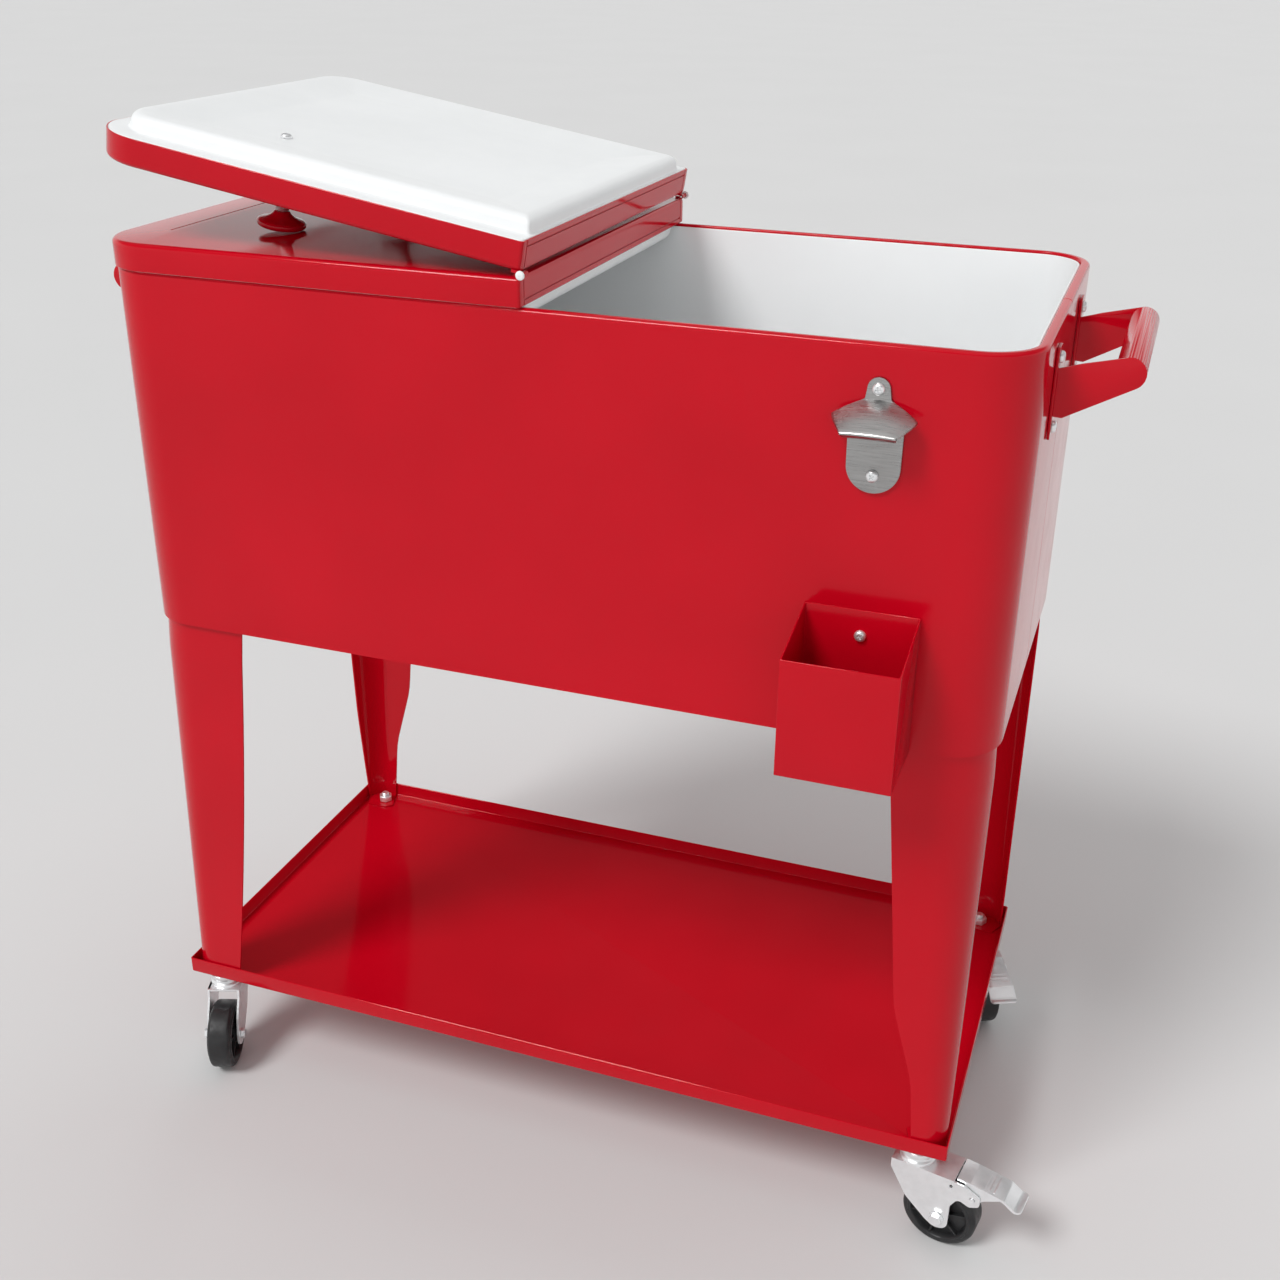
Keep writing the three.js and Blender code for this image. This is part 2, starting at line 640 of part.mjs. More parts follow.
// The knob's three pieces about its own axis: mushroom, ferrule and the bolt up through the lid.
function knobParts(name) {
  const base = LID_TOP + FERRULE_HEIGHT + 2 * GAP;
  const tip = LID_TOP + KNOB_HEIGHT;
  const mushroom = turned([
    [6, base],
    [7, base + 1.5],
    [9.5, base + 4],
    [15, base + 6.5],
    [KNOB_RADIUS, base + 8],
    [KNOB_RADIUS, tip - 2],
    [KNOB_RADIUS - 2.5, tip],
  ], 20);
  const blind = upright(2.8, 20, 0, 0, base);
  const ferrule = turnedRing([
    [2.9, LID_TOP + GAP],
    [9, LID_TOP + GAP],
    [8, LID_TOP + 3],
    [5.4, LID_TOP + 10],
    [5.2, base - GAP],
    [2.9, base - GAP],
  ]);
  const seat = LID_FOOT - 0.5 - PLUG_DEPTH + DISH_DEPTH - GAP;
  const bolt = turned([[2.5, base + 8], [2.5, seat], [4.5, seat], [4.2, seat - 2], [2.4, seat - 3]], 14);
  const pieces = [
    node(name + "_knob", cut(mushroom, blind), paint),
    node(name + "_knob_ferrule", ferrule, zinc),
    node(name + "_knob_bolt", bolt, zinc),
  ];
  for (const piece of pieces) piece.position.set(KNOB_X, KNOB_Y, 0);
  return pieces;
}

function halfLid(name) {
  const shell = node(name + "_lid_shell", lidShell(), paint);
  const liner = node(name + "_lid_liner", lidLiner(), plastic);
  return groupOf(shell, liner, ...knobParts(name));
}

// A short pin through the two ears at one end of the hinge, and the white cap pressed on it.
function hingePin(name) {
  const tip = LID_WIDTH / 2;
  const end = tip + CAP_HEIGHT;
  const pin = turned([[PIN_RADIUS, tip - 2 * EAR_WIDTH - 2], [PIN_RADIUS, end - 0.5]], 14);
  const shell = turnedRing([
    [PIN_RADIUS + GAP, tip + GAP],
    [CAP_RADIUS, tip + GAP],
    [CAP_RADIUS, end - 0.7],
    [CAP_RADIUS - 0.7, end],
    [PIN_RADIUS + GAP, end],
  ]);
  const pieces = [node("hinge_pin_" + name, pin, zinc), node("hinge_cap_" + name, shell, plastic)];
  for (const piece of pieces) piece.rotation.x = (name === "front" ? 90 : -90) * DEGREE;
  return pieces;
}

// The angle at which the folded lid rests with its knob's near edge on the other lid.
function foldedAngle() {
  const reach = KNOB_X - KNOB_RADIUS + 2.5;
  const stand = KNOB_HEIGHT - HINGE_RISE;
  const clear = HINGE_RISE - GAP;
  return Math.asin(-clear / Math.hypot(reach, stand)) + Math.atan2(stand, reach);
}

// ---------------------------------------------------------------- handles
// One welded piece: two arms with wall feet and a rolled grip, for the +X end.
function handleBody() {
  const wall = HALF_LENGTH + GAP;
  const tip = Array.from({ length: 9 }, (_, i) => {
    const turn = (105 - i * 21) * DEGREE;
    return [GRIP_X + GRIP_RADIUS * Math.cos(turn), GRIP_Z + GRIP_RADIUS * Math.sin(turn)];
  });
  const side = [[wall, 706.5], [wall, 741], [wall + 18, 746.5], ...tip, [wall + 8, 706]];
  const arm = (at) => plate(side, HANDLE_SHEET).rotateX(90 * DEGREE).translate(0, at, 0);
  const inner = HANDLE_HALF_SPAN - HANDLE_SHEET / 2;
  const foot = (y) => {
    const low = [wall, y - 11, HANDLE_SCREWS_Z[1] - 8];
    const high = [wall + HANDLE_SHEET, y + 11, HANDLE_SCREWS_Z[0] + 8];
    return block(low, high);
  };
  const bores = [-1, 1].flatMap((end) =>
    HANDLE_SCREWS_Z.map((z) =>
      new THREE.CylinderGeometry(2.4, 2.4, 12, 10)
        .rotateZ(90 * DEGREE)
        .translate(wall, end * HANDLE_HALF_SPAN, z)));
  const feet = [-1, 1].map((end) => foot(end * HANDLE_HALF_SPAN));
  const arms = [arm(inner + HANDLE_SHEET), arm(-inner)];
  return cut(join(...feet, ...arms, gripSheet(inner + 0.5)), ...bores);
}

// The grip: sheet rolled three quarters round, open underneath on the wall side.
function gripSheet(half) {
  const arc = (radius) =>
    [-half, half].map((y) =>
      Array.from({ length: 12 }, (_, i) => {
        const turn = (150 - i * 20) * DEGREE;
        return [GRIP_X + radius * Math.cos(turn), y, GRIP_Z + radius * Math.sin(turn)];
      }));
  return sheet(arc(GRIP_RADIUS), arc(GRIP_RADIUS - HANDLE_SHEET));
}

// A screw along +X: pan head outside, shank ending in the casing wall.
function screw(name, seat) {
  const shank = [[SCREW_RADIUS, -seat - 1.2], [SCREW_RADIUS, 0]];
  const mesh = node(name, turned([...shank, [4.4, 0], [4.2, 1.8], [2.2, 3]], 10), zinc);
  mesh.rotation.y = 90 * DEGREE;
  return mesh;
}

function handle(name, end) {
  const group = groupOf(node(name + "_handle", handleBody(), paint));
  const seat = HANDLE_SHEET + 2 * GAP;
  for (const [row, z] of HANDLE_SCREWS_Z.entries()) {
    for (const side of [-1, 1]) {
      const place = ["upper", "lower"][row] + (side * end < 0 ? "_front" : "_rear");
      const mesh = screw(name + "_handle_screw_" + place, seat);
      mesh.position.set(HALF_LENGTH + seat, side * HANDLE_HALF_SPAN, z);
      group.add(mesh);
    }
  }
  group.rotation.z = end > 0 ? 0 : Math.PI;
  return group;
}

// ---------------------------------------------------------------- opener and catcher
// Both hang on the front wall: y = 0 is the wall face and -Y is outwards.
function frontHole(z) {
  return new THREE.CylinderGeometry(SCREW_RADIUS + 0.4, SCREW_RADIUS + 0.4, 12, 10).translate(0, 0, z);
}

function openerBody() {
  const arc = (radius, z, from) =>
    Array.from({ length: 9 }, (_, i) => {
      const turn = (from + i * 22.5) * DEGREE;
      return [radius * Math.cos(turn), z + radius * Math.sin(turn)];
    });
  const ear = arc(7.9, OPENER_SCREWS_Z[0], 0);
  const left = [[-9, 736], [-HOOD_LIP, 724]];
  const foot = arc(19, OPENER_SCREWS_Z[1] + 6.5, 180);
  const right = left.map(([x, z]) => [-x, z]).reverse();
  const back = plate([...ear, ...left, ...foot, ...right], OPENER_SHEET).rotateX(90 * DEGREE);
  const holes = OPENER_SCREWS_Z.map((z) => frontHole(z));
  return cut(join(back, openerHood()), ...holes);
}

// The hood: sheet that leaves the plate below the ear, widens to two pointed tips, runs out to a
// straight lip and turns back under it. Each row is [half width, z at its ends, z rise at its middle, out].
function openerHood() {
  const rows = [
    [9, 735.5, 0.5, 1.5],
    [20, 731, 2, 6.5],
    [HOOD_TIP, 726, 4.5, 12],
    [25, 723, 3, 21],
    [HOOD_LIP, 719.4, 0.6, HOOD_OUT - 1],
    [HOOD_LIP - 0.5, 717.6, 0.4, HOOD_OUT],
    [HOOD_LIP - 1.3, 715, 0.2, HOOD_OUT - 3.5],
  ];
  const surface = (inset) =>
    rows.map(([half, z, rise, out], row) =>
      Array.from({ length: 9 }, (_, i) => {
        const across = i / 4 - 1;
        const [dy, dz] = row < 4 ? [0, -inset] : [inset, row < 5 ? -inset : 0];
        return [across * half, dy - out, z + rise * (1 - across ** 2) + dz];
      }));
  return sheet(surface(0), surface(OPENER_SHEET * 0.8));
}

function opener() {
  const body = node("bottle_opener", openerBody(), stainless);
  const seat = OPENER_SHEET + 2 * GAP;
  const screws = OPENER_SCREWS_Z.map((z, row) => {
    const mesh = frontScrew("opener_screw_" + ["upper", "lower"][row], seat);
    mesh.position.set(0, -seat, z);
    return mesh;
  });
  body.position.y = -GAP;
  const group = groupOf(body, ...screws);
  group.position.set(OPENER_X, -HALF_WIDTH, 0);
  return group;
}

// The same screw, turned to point out of the front wall.
function frontScrew(name, seat) {
  const mesh = screw(name, seat);
  mesh.rotation.set(90 * DEGREE, 0, 0);
  return mesh;
}

// A folded box with an open, sloping top: high at the wall and low at the front.
function catcherBody() {
  const half = CATCHER_WIDTH / 2;
  const reach = CATCHER_DEPTH;
  const side = [[0, 0], [0, CATCHER_BACK], [reach, CATCHER_FRONT], [reach, 0]];
  const outside = plate(side, CATCHER_WIDTH).rotateX(90 * DEGREE).rotateZ(-90 * DEGREE);
  outside.translate(half, 0, 0);
  const bend = SHEET;
  const hollowLoop = (inset, z) => {
    const right = half - inset;
    const corners = Array(4).fill([bend, 2]);
    return outline({ left: -right, right, half: reach / 2 - inset, corners, z });
  };
  const hollow = skin([
    hollowLoop(SHEET + bend, SHEET),
    hollowLoop(SHEET, SHEET + bend),
    hollowLoop(SHEET, CATCHER_BACK + 5),
  ]).translate(0, -reach / 2, 0);
  return cut(outside, hollow, frontHole(CATCHER_SCREW_Z - CATCHER_Z));
}

function capCatcher() {
  const body = node("cap_catcher", catcherBody(), paint);
  body.position.set(0, -GAP, CATCHER_Z);
  const seat = SHEET + 2 * GAP;
  const fixing = frontScrew("catcher_screw", seat);
  fixing.position.set(0, -seat, CATCHER_SCREW_Z);
  const group = groupOf(body, fixing);
  group.position.set(OPENER_X, -HALF_WIDTH, 0);
  return group;
}

// ---------------------------------------------------------------- assembly
const leftLid = halfLid("left");
leftLid.rotation.z = Math.PI;
leftLid.position.z = HINGE_Z;

const rightLid = halfLid("right");
rightLid.rotation.y = foldedAngle() - Math.PI;
rightLid.position.z = HINGE_Z;

const hinge = groupOf(...hingePin("front"), ...hingePin("rear"));
hinge.position.z = HINGE_Z;

const cart = groupOf(
  outerCasing(),
  innerLiner(),
  insulation(),
  basePlate(),
  ...CORNERS.map(leg),
  shelfTray(),
  ...CORNERS.map(caster),
  leftLid,
  rightLid,
  hinge,
  handle("right", 1),
  handle("left", -1),
  opener(),
  capCatcher(),
);

// The frame's origin is the middle of the footprint, on the floor.
const bounds = new THREE.Box3().setFromObject(cart, true);
const middle = bounds.getCenter(new THREE.Vector3());
cart.position.set(-middle.x, -middle.y, -bounds.min.z);
const part = groupOf(cart);

export default part;
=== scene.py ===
"""Looks of the patio cooler cart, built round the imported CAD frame.

Shapes are drawn in millimetres in the tub's own frame (the tub centred on X = Y = 0, the floor at z = 0)
and turned into metres in the part's frame by TUB_TO_PART.
"""
import json
from math import asin, atan2, cos, hypot, pi, radians, sin, tan

import bmesh
import bpy
from mathutils import Matrix, Vector


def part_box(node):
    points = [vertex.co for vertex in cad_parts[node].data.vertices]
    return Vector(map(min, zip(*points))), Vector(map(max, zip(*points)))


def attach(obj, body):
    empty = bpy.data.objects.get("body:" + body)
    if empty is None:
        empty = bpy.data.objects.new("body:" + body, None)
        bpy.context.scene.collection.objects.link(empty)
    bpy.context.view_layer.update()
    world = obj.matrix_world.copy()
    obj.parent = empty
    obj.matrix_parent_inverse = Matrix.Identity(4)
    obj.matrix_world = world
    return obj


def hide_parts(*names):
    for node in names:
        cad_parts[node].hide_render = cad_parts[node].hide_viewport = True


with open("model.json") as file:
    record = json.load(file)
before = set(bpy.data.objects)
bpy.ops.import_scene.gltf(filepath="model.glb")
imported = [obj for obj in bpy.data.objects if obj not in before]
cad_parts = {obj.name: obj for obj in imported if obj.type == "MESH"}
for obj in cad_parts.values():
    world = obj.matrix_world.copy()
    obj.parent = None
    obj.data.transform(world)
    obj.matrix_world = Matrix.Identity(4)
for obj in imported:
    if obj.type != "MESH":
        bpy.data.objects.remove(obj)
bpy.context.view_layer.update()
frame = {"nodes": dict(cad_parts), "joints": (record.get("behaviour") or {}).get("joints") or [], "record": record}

# -------------------------------- driving dimensions, millimetres
MM = 0.001
GAP = 0.3
SHEET = 1.2

TUB_LENGTH = 732
TUB_WIDTH = 367
TUB_CORNER = 44
RIM_Z = 773
SKIRT_Z = 471.8
RIM_BAND = 7.5
RIM_ROLL = 3.2
RIM_FOLD = 1.4
RIM_RETURN = 9
SEAM_HALF = 0.7  # the butt seam at each end of the casing
SEAM_DEPTH = 0.9
CASING_WALL = 1
LINER_WALL = 1.6
LINER_FLOOR_INSET = 22
LINER_FLOOR_Z = 518.2
LINER_FLOOR_ROUND = 14
CORNER_STEPS = 20

LID_LENGTH = 368
LID_WIDTH = 371
LID_CORNER = 46
LID_HEIGHT = 21.5
LID_REST = 0.8
LID_ROUND = 4
HINGE_RISE = 2
HINGE_GAP = 1.2
EAR_RADIUS = 1.7
EAR_WIDTH = 5
EAR_GAP = 0.4
EAR_WEB = 7.5
PIN_RADIUS = 0.9
CAP_RADIUS = 3.4
PLUG_DEPTH = 12.5
DISH_DEPTH = 6  # the panel's middle is a shallow dish
DISH_SLOPE = 38
DISH_BRIM = 3
PLUG_FAR = 14
PLUG_SIDE = 19.5
PLUG_HINGE = 4
PLUG_ROUND = 8
CREASE_X = 332
CREASE_LENGTH = 254
HEM = 4.6  # folded edge of the lid's hinge end
HEM_SIDE = 8.5

KNOB_X = 246
KNOB_Y = -95
KNOB_HEIGHT = 41.5
KNOB_RADIUS = 19.5
FERRULE_HEIGHT = 28

LEG_SHEET = 1.5
LEG_CORNER = 42
LEG_FOOT_CORNER = 19
LEG_INSET = 2.4
LEG_TOP_Z = 496
LEG_STEP = 1.4  # how far a leg draws in behind the skirt
LEG_STEP_RUN = 30

TRAY_Z = 93.6
TRAY_LENGTH = 733
TRAY_WIDTH = 366
TRAY_LIP = 15.9

WHEEL_RADIUS = 32.25
WHEEL_WIDTH = 23
CASTER_TRAIL = 26
STEM_RADIUS = 4
NUT_RADIUS = 7.5
FORK_PLATE = 2
FORK_GAP = 1.8
CROWN_Z = 78
PEDAL_X = 54
PEDAL_Z = 65.5
PEDAL_TIP = 94.6
PEDAL_TIP_ROUND = 5

HANDLE_HALF_SPAN = 82
HANDLE_SHEET = 2
GRIP_X = 416.5
GRIP_Z = 742.5
GRIP_RADIUS = 11.5
HANDLE_SCREWS_Z = (750, 699)

OPENER_X = 261
OPENER_SCREWS_Z = (743, 681.5)
OPENER_SHEET = 2.5
OPENER_EYE = 7.9
OPENER_FOOT = 19
HOOD_TIP = 29.3
HOOD_LIP = 19.5
HOOD_OUT = 31.5
CATCHER_WIDTH = 85
CATCHER_DEPTH = 67
CATCHER_BACK = 109
CATCHER_FRONT = 92
CATCHER_Z = 471
CATCHER_SCREW_Z = 560

HALF_LENGTH = TUB_LENGTH / 2
HALF_WIDTH = TUB_WIDTH / 2
HINGE_Z = RIM_Z + LID_REST + LID_HEIGHT + HINGE_RISE
LID_TOP = -HINGE_RISE
LID_FOOT = LID_TOP - LID_HEIGHT
FLANGE_Z = LID_FOOT - 0.5
PANEL_Z = FLANGE_Z - PLUG_DEPTH
AXLE_HALF = WHEEL_WIDTH / 2 + FORK_GAP + FORK_PLATE
LINER_TOP_Z = RIM_Z - 2
LINER_INSET = RIM_BAND + GAP + 0.2

casing_low, casing_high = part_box("outer_casing")
TUB_TO_PART = Matrix.Translation((*(casing_low + casing_high).xy / 2, 0)) @ Matrix.Scale(MM, 4)
JOINTS = {joint["name"]: joint for joint in frame["joints"]}
CORNERS = ("front_left", "front_right", "rear_left", "rear_right")


def side_of(corner):
    """The signs of X and Y at a corner of the cart."""
    return (1 if corner.endswith("right") else -1, 1 if corner.startswith("rear") else -1)


# -------------------------------- shapes: (points, faces) in millimetres
def strip(lower, upper, closed=True):
    """Quads between two rows of point numbers."""
    count = len(lower) if closed else len(lower) - 1
    following = [(i + 1) % len(lower) for i in range(count)]
    return [(lower[i], lower[j], upper[j], upper[i]) for i, j in enumerate(following)]


def rows_of(loops):
    """All the loops' points in one list, and the point numbers of each loop."""
    points = [point for loop in loops for point in loop]
    numbers, start = [], 0
    for loop in loops:
        numbers.append(list(range(start, start + len(loop))))
        start += len(loop)
    return points, numbers


def skin(loops):
    """A body whose surface runs through the loops in turn, capped at both ends."""
    points, rows = rows_of(loops)
    faces = [tuple(reversed(rows[0])), tuple(rows[-1])]
    for lower, upper in zip(rows, rows[1:]):
        faces += strip(lower, upper)
    return points, faces


def hoop(loops):
    """A body whose surface runs through the loops and back to the first one."""
    points, rows = rows_of(loops)
    faces = []
    for lower, upper in zip(rows, rows[1:] + rows[:1]):
        faces += strip(lower, upper)
    return points, faces


def sheet(front, back):
    """A sheet between two grids of points, closed along its four edges."""
    points, rows = rows_of(list(front) + list(back))
    fore, rear = rows[:len(front)], rows[len(front):]
    faces = []
    for i in range(1, len(fore)):
        faces += strip(fore[i - 1], fore[i], closed=False)
        faces += strip(rear[i], rear[i - 1], closed=False)
    faces += strip(rear[0], fore[0], closed=False)
    faces += strip(fore[-1], rear[-1], closed=False)
    faces += strip([row[0] for row in fore], [row[0] for row in rear], closed=False)
    faces += strip([row[-1] for row in rear], [row[-1] for row in fore], closed=False)
    return points, faces


def plate(corners, thickness):
    """A flat outline of (x, y) corners, thickened along +Z."""
    return skin([[(x, y, z) for x, y in corners] for z in (0, thickness)])


def block(low, high):
    """A box between two opposite corners."""
    (x0, y0, z0), (x1, y1, z1) = low, high
    bottom = [(x0, y0), (x1, y0), (x1, y1), (x0, y1)]
    return skin([[(x, y, z) for x, y in bottom] for z in (z0, z1)])


def circle(radius, z, steps):
    return [(radius * cos(2 * pi * i / steps), radius * sin(2 * pi * i / steps), z) for i in range(steps)]


def turned(profile, steps=32):
    """A solid of revolution about Z through (radius, z) points."""
    return skin([circle(radius, z, steps) for radius, z in profile])


def turned_ring(profile, steps=32):
    """A ring of revolution: the profile closes on itself off the axis."""
    return hoop([circle(radius, z, steps) for radius, z in profile])


def moved(shape, matrix):
    points, faces = shape
    return [tuple(matrix @ Vector(point)) for point in points], faces


def shifted(shape, x, y, z):
    return moved(shape, Matrix.Translation((x, y, z)))


def spun(shape, angle, axis):
    return moved(shape, Matrix.Rotation(radians(angle), 4, axis))


def together(*shapes):
    """Several closed shapes as one list of points and faces."""
    points, faces = [], []
    for more_points, more_faces in shapes:
        start = len(points)
        points += more_points
        faces += [tuple(number + start for number in face) for face in more_faces]
    return points, faces


def outline(left, right, half, corners, z):
    """A rounded rectangle at height z; corners is (radius, steps) for +X+Y, -X+Y, -X-Y and +X-Y."""
    middle = (left + right) / 2
    places = ((right, half), (left, half), (left, -half), (right, -half))
    points = []
    for quarter, (x, y) in enumerate(places):
        radius, steps = corners[quarter]
        cx = x - radius if x > middle else x + radius
        cy = y - radius if y > 0 else y + radius
        for i in range(steps + 1):
            turn = radians(90 * (quarter + i / steps))
            points.append((cx + radius * cos(turn), cy + radius * sin(turn), z))
    return points


def rounded(corners, radii, steps=6):
    """A polygon's corners rounded off; a radius of 0 keeps a corner sharp."""
    points = []
    count = len(corners)
    for i, (corner, radius) in enumerate(zip(corners, radii)):
        here = Vector(corner)
        before = (Vector(corners[i - 1]) - here).normalized()
        after = (Vector(corners[(i + 1) % count]) - here).normalized()
        half = before.angle(after) / 2
        if not radius or half > pi / 2 - 0.01:
            points.append(tuple(here))
            continue
        middle = here + (before + after).normalized() * (radius / sin(half))
        start = here + before * (radius / tan(half)) - middle
        end = here + after * (radius / tan(half)) - middle
        sweep = start.angle_signed(end)
        for step in range(steps + 1):
            points.append(tuple(middle + Matrix.Rotation(-sweep * step / steps, 2) @ start))
    return points


# -------------------------------- meshes
def mesh_of(name, shape, matrix=None):
    """A clean mesh in metres, in the part's frame."""
    points, faces = shape
    place = TUB_TO_PART @ matrix if matrix else TUB_TO_PART
    mesh = bpy.data.meshes.new(name)
    mesh.from_pydata([Vector(point) for point in points], [], faces)
    work = bmesh.new()
    work.from_mesh(mesh)
    bmesh.ops.remove_doubles(work, verts=work.verts, dist=1e-4)
    bmesh.ops.recalc_face_normals(work, faces=work.faces)
    bmesh.ops.transform(work, matrix=place, verts=work.verts)
    if place.determinant() < 0:
        bmesh.ops.reverse_faces(work, faces=work.faces)
    work.to_mesh(mesh)
    work.free()
    return mesh


def object_of(name, shape, matrix=None):
    thing = bpy.data.objects.new(name, mesh_of(name, shape, matrix))
    bpy.context.scene.collection.objects.link(thing)
    return thing


def settle(thing):
    """Replaces the object's modifiers by the mesh they make."""
    bpy.context.view_layer.update()
    done = thing.evaluated_get(bpy.context.evaluated_depsgraph_get())
    mesh = bpy.data.meshes.new_from_object(done)
    old = thing.data
    thing.modifiers.clear()
    thing.data = mesh
    bpy.data.meshes.remove(old)
    mesh.name = thing.name


def combine(thing, shapes, operation, matrix=None):
    """Adds shapes to the object, or cuts them out of it."""
    for number, shape in enumerate(shapes):
        tool = object_of(f"{thing.name}_tool_{number}", shape, matrix)
        change = thing.modifiers.new("combine", "BOOLEAN")
        change.operation = operation
        change.solver = "EXACT"
        change.object = tool
        settle(thing)
        data = tool.data
        bpy.data.objects.remove(tool)
        bpy.data.meshes.remove(data)


def soften(thing, width, segments=2, angle=40):
    """Rounds off every edge sharper than the angle by a small radius in millimetres."""
    bevel = thing.modifiers.new("edges", "BEVEL")
    bevel.width = width * MM
    bevel.segments = segments
    bevel.limit_method = "ANGLE"
    bevel.angle_limit = radians(angle)
    settle(thing)


def smooth(thing, angle):
    """Smooth shading, but for edges sharper than the angle."""
    thing.data.shade_smooth()
    thing.data.set_sharp_from_angle(angle=radians(angle))


def body_of(node):
    """The name of the body that a CAD node belongs to."""
    bodies = frame["record"]["behaviour"]["bodies"]
    return next(body for body, nodes in bodies.items() if node in nodes)


def finish_piece(thing, node, material, angle=35):
    """Gives a finished piece its material and puts it in its CAD node's place."""
    thing.data.materials.clear()
    thing.data.materials.append(material)
    smooth(thing, angle)
    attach(thing, body_of(node))
    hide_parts(node)
    return thing


# -------------------------------- materials
def new_material(name, color, roughness, metallic=0.0, ior=1.45):
    """A material and its shader, set to plain values."""
    material = bpy.data.materials.new(name)
    material.use_nodes = True
    shader = material.node_tree.nodes["Principled BSDF"]
    shader.inputs["Base Color"].default_value = (*color, 1)
    shader.inputs["Roughness"].default_value = roughness
    shader.inputs["Metallic"].default_value = metallic
    shader.inputs["IOR"].default_value = ior
    return material, shader


def noise(material, scale, detail=3.0, stretch=(1, 1, 1)):
    """A noise texture in the object's own metres; stretch squeezes it along an axis."""
    nodes, links = material.node_tree.nodes, material.node_tree.links
    place = nodes.new("ShaderNodeTexCoord")
    squeeze = nodes.new("ShaderNodeMapping")
    squeeze.inputs["Scale"].default_value = stretch
    texture = nodes.new("ShaderNodeTexNoise")
    texture.inputs["Scale"].default_value = scale
    texture.inputs["Detail"].default_value = detail
    links.new(place.outputs["Object"], squeeze.inputs["Vector"])
    links.new(squeeze.outputs["Vector"], texture.inputs["Vector"])
    return texture


NOISE_SPAN = (0.3, 0.7)  # the noise values that the looks spread over


def vary(material, shader, socket, texture, low, high):
    """Drives a number of the shader between two values by a texture."""
    nodes, links = material.node_tree.nodes, material.node_tree.links
    spread = nodes.new("ShaderNodeMapRange")
    spread.inputs["From Min"].default_value, spread.inputs["From Max"].default_value = NOISE_SPAN
    spread.inputs["To Min"].default_value = low
    spread.inputs["To Max"].default_value = high
    links.new(texture.outputs["Fac"], spread.inputs["Value"])
    links.new(spread.outputs["Result"], shader.inputs[socket])


def tint(material, shader, texture, dark, light):
    """Drives the base colour between two colours by a texture."""
    nodes, links = material.node_tree.nodes, material.node_tree.links
    ramp = nodes.new("ShaderNodeValToRGB")
    for stop, position, color in zip(ramp.color_ramp.elements, NOISE_SPAN, (dark, light)):
        stop.position = position
        stop.color = (*color, 1)
    links.new(texture.outputs["Fac"], ramp.inputs["Fac"])
    links.new(ramp.outputs["Color"], shader.inputs["Base Color"])


def bumps(material, shader, textures):
    """Chains bumps from (texture, strength, distance in metres)."""
    nodes, links = material.node_tree.nodes, material.node_tree.links
    previous = None
    for texture, strength, distance in textures:
        bump = nodes.new("ShaderNodeBump")
        bump.inputs["Strength"].default_value = strength
        bump.inputs["Distance"].default_value = distance
        links.new(texture.outputs["Fac"], bump.inputs["Height"])
        if previous:
            links.new(previous.outputs["Normal"], bump.inputs["Normal"])
        previous = bump
    links.new(previous.outputs["Normal"], shader.inputs["Normal"])


def red_paint():
    """Glossy powder-coated red: faint orange peel and slow changes of gloss and tone."""
    material, shader = new_material("red_paint", (0.5, 0.001, 0.01), 0.1, ior=1.32)
    tint(material, shader, noise(material, 7, 2), (0.475, 0.0008, 0.009), (0.525, 0.0012, 0.011))
    vary(material, shader, "Roughness", noise(material, 22, 4), 0.07, 0.13)
    bumps(material, shader, [(noise(material, 320, 2), 0.014, 0.0003), (noise(material, 12, 1), 0.04, 0.002)])
    return material


def white_plastic():
    """Moulded white plastic with a fine satin grain."""
    material, shader = new_material("white_plastic", (0.83, 0.845, 0.85), 0.4)
    tint(material, shader, noise(material, 9, 3), (0.81, 0.825, 0.83), (0.845, 0.86, 0.865))
    vary(material, shader, "Roughness", noise(material, 60, 3), 0.34, 0.46)
    bumps(material, shader, [(noise(material, 1400, 2), 0.08, 0.0002)])
    return material


def foam():
    """Pale yellow insulation foam with a coarse grain."""
    material, shader = new_material("foam", (0.85, 0.8, 0.66), 0.9)
    tint(material, shader, noise(material, 120, 4), (0.78, 0.72, 0.56), (0.88, 0.84, 0.7))
    bumps(material, shader, [(noise(material, 500, 3), 0.4, 0.001)])
    return material


def zinc_plate(name="zinc_plate", low=0.3, high=0.4, color=(0.93, 0.94, 0.95)):
    """Bright zinc plate, faintly cloudy in tone and gloss."""
    material, shader = new_material(name, color, 0.34, metallic=0.8)
    shade = tuple(value * 0.93 for value in color)
    tint(material, shader, noise(material, 130, 5), shade, color)
    vary(material, shader, "Roughness", noise(material, 260, 4), low, high)
    bumps(material, shader, [(noise(material, 200, 2), 0.01, 0.0002)])
    return material


def brushed_steel():
    """Stainless sheet, brushed along X."""
    material, shader = new_material("brushed_steel", (0.41, 0.405, 0.4), 0.28, metallic=1.0)
    brush = noise(material, 900, 4, (0.05, 1, 1))
    tint(material, shader, brush, (0.36, 0.355, 0.35), (0.46, 0.455, 0.45))
    vary(material, shader, "Roughness", brush, 0.24, 0.36)
    bumps(material, shader, [(brush, 0.04, 0.0002)])
    return material


def black_plastic():
    """Moulded black wheel plastic, dusty on its tread."""
    material, shader = new_material("black_plastic", (0.014, 0.014, 0.015), 0.42)
    tint(material, shader, noise(material, 60, 5), (0.009, 0.009, 0.01), (0.024, 0.024, 0.025))
    vary(material, shader, "Roughness", noise(material, 180, 4), 0.3, 0.55)
    bumps(material, shader, [(noise(material, 700, 3), 0.12, 0.0003)])
    return material


RED = red_paint()
WHITE = white_plastic()
FOAM = foam()
ZINC = zinc_plate()
CHROME = zinc_plate("polished_plate", 0.08, 0.14, (0.8, 0.8, 0.81))
STEEL = brushed_steel()
BLACK = black_plastic()


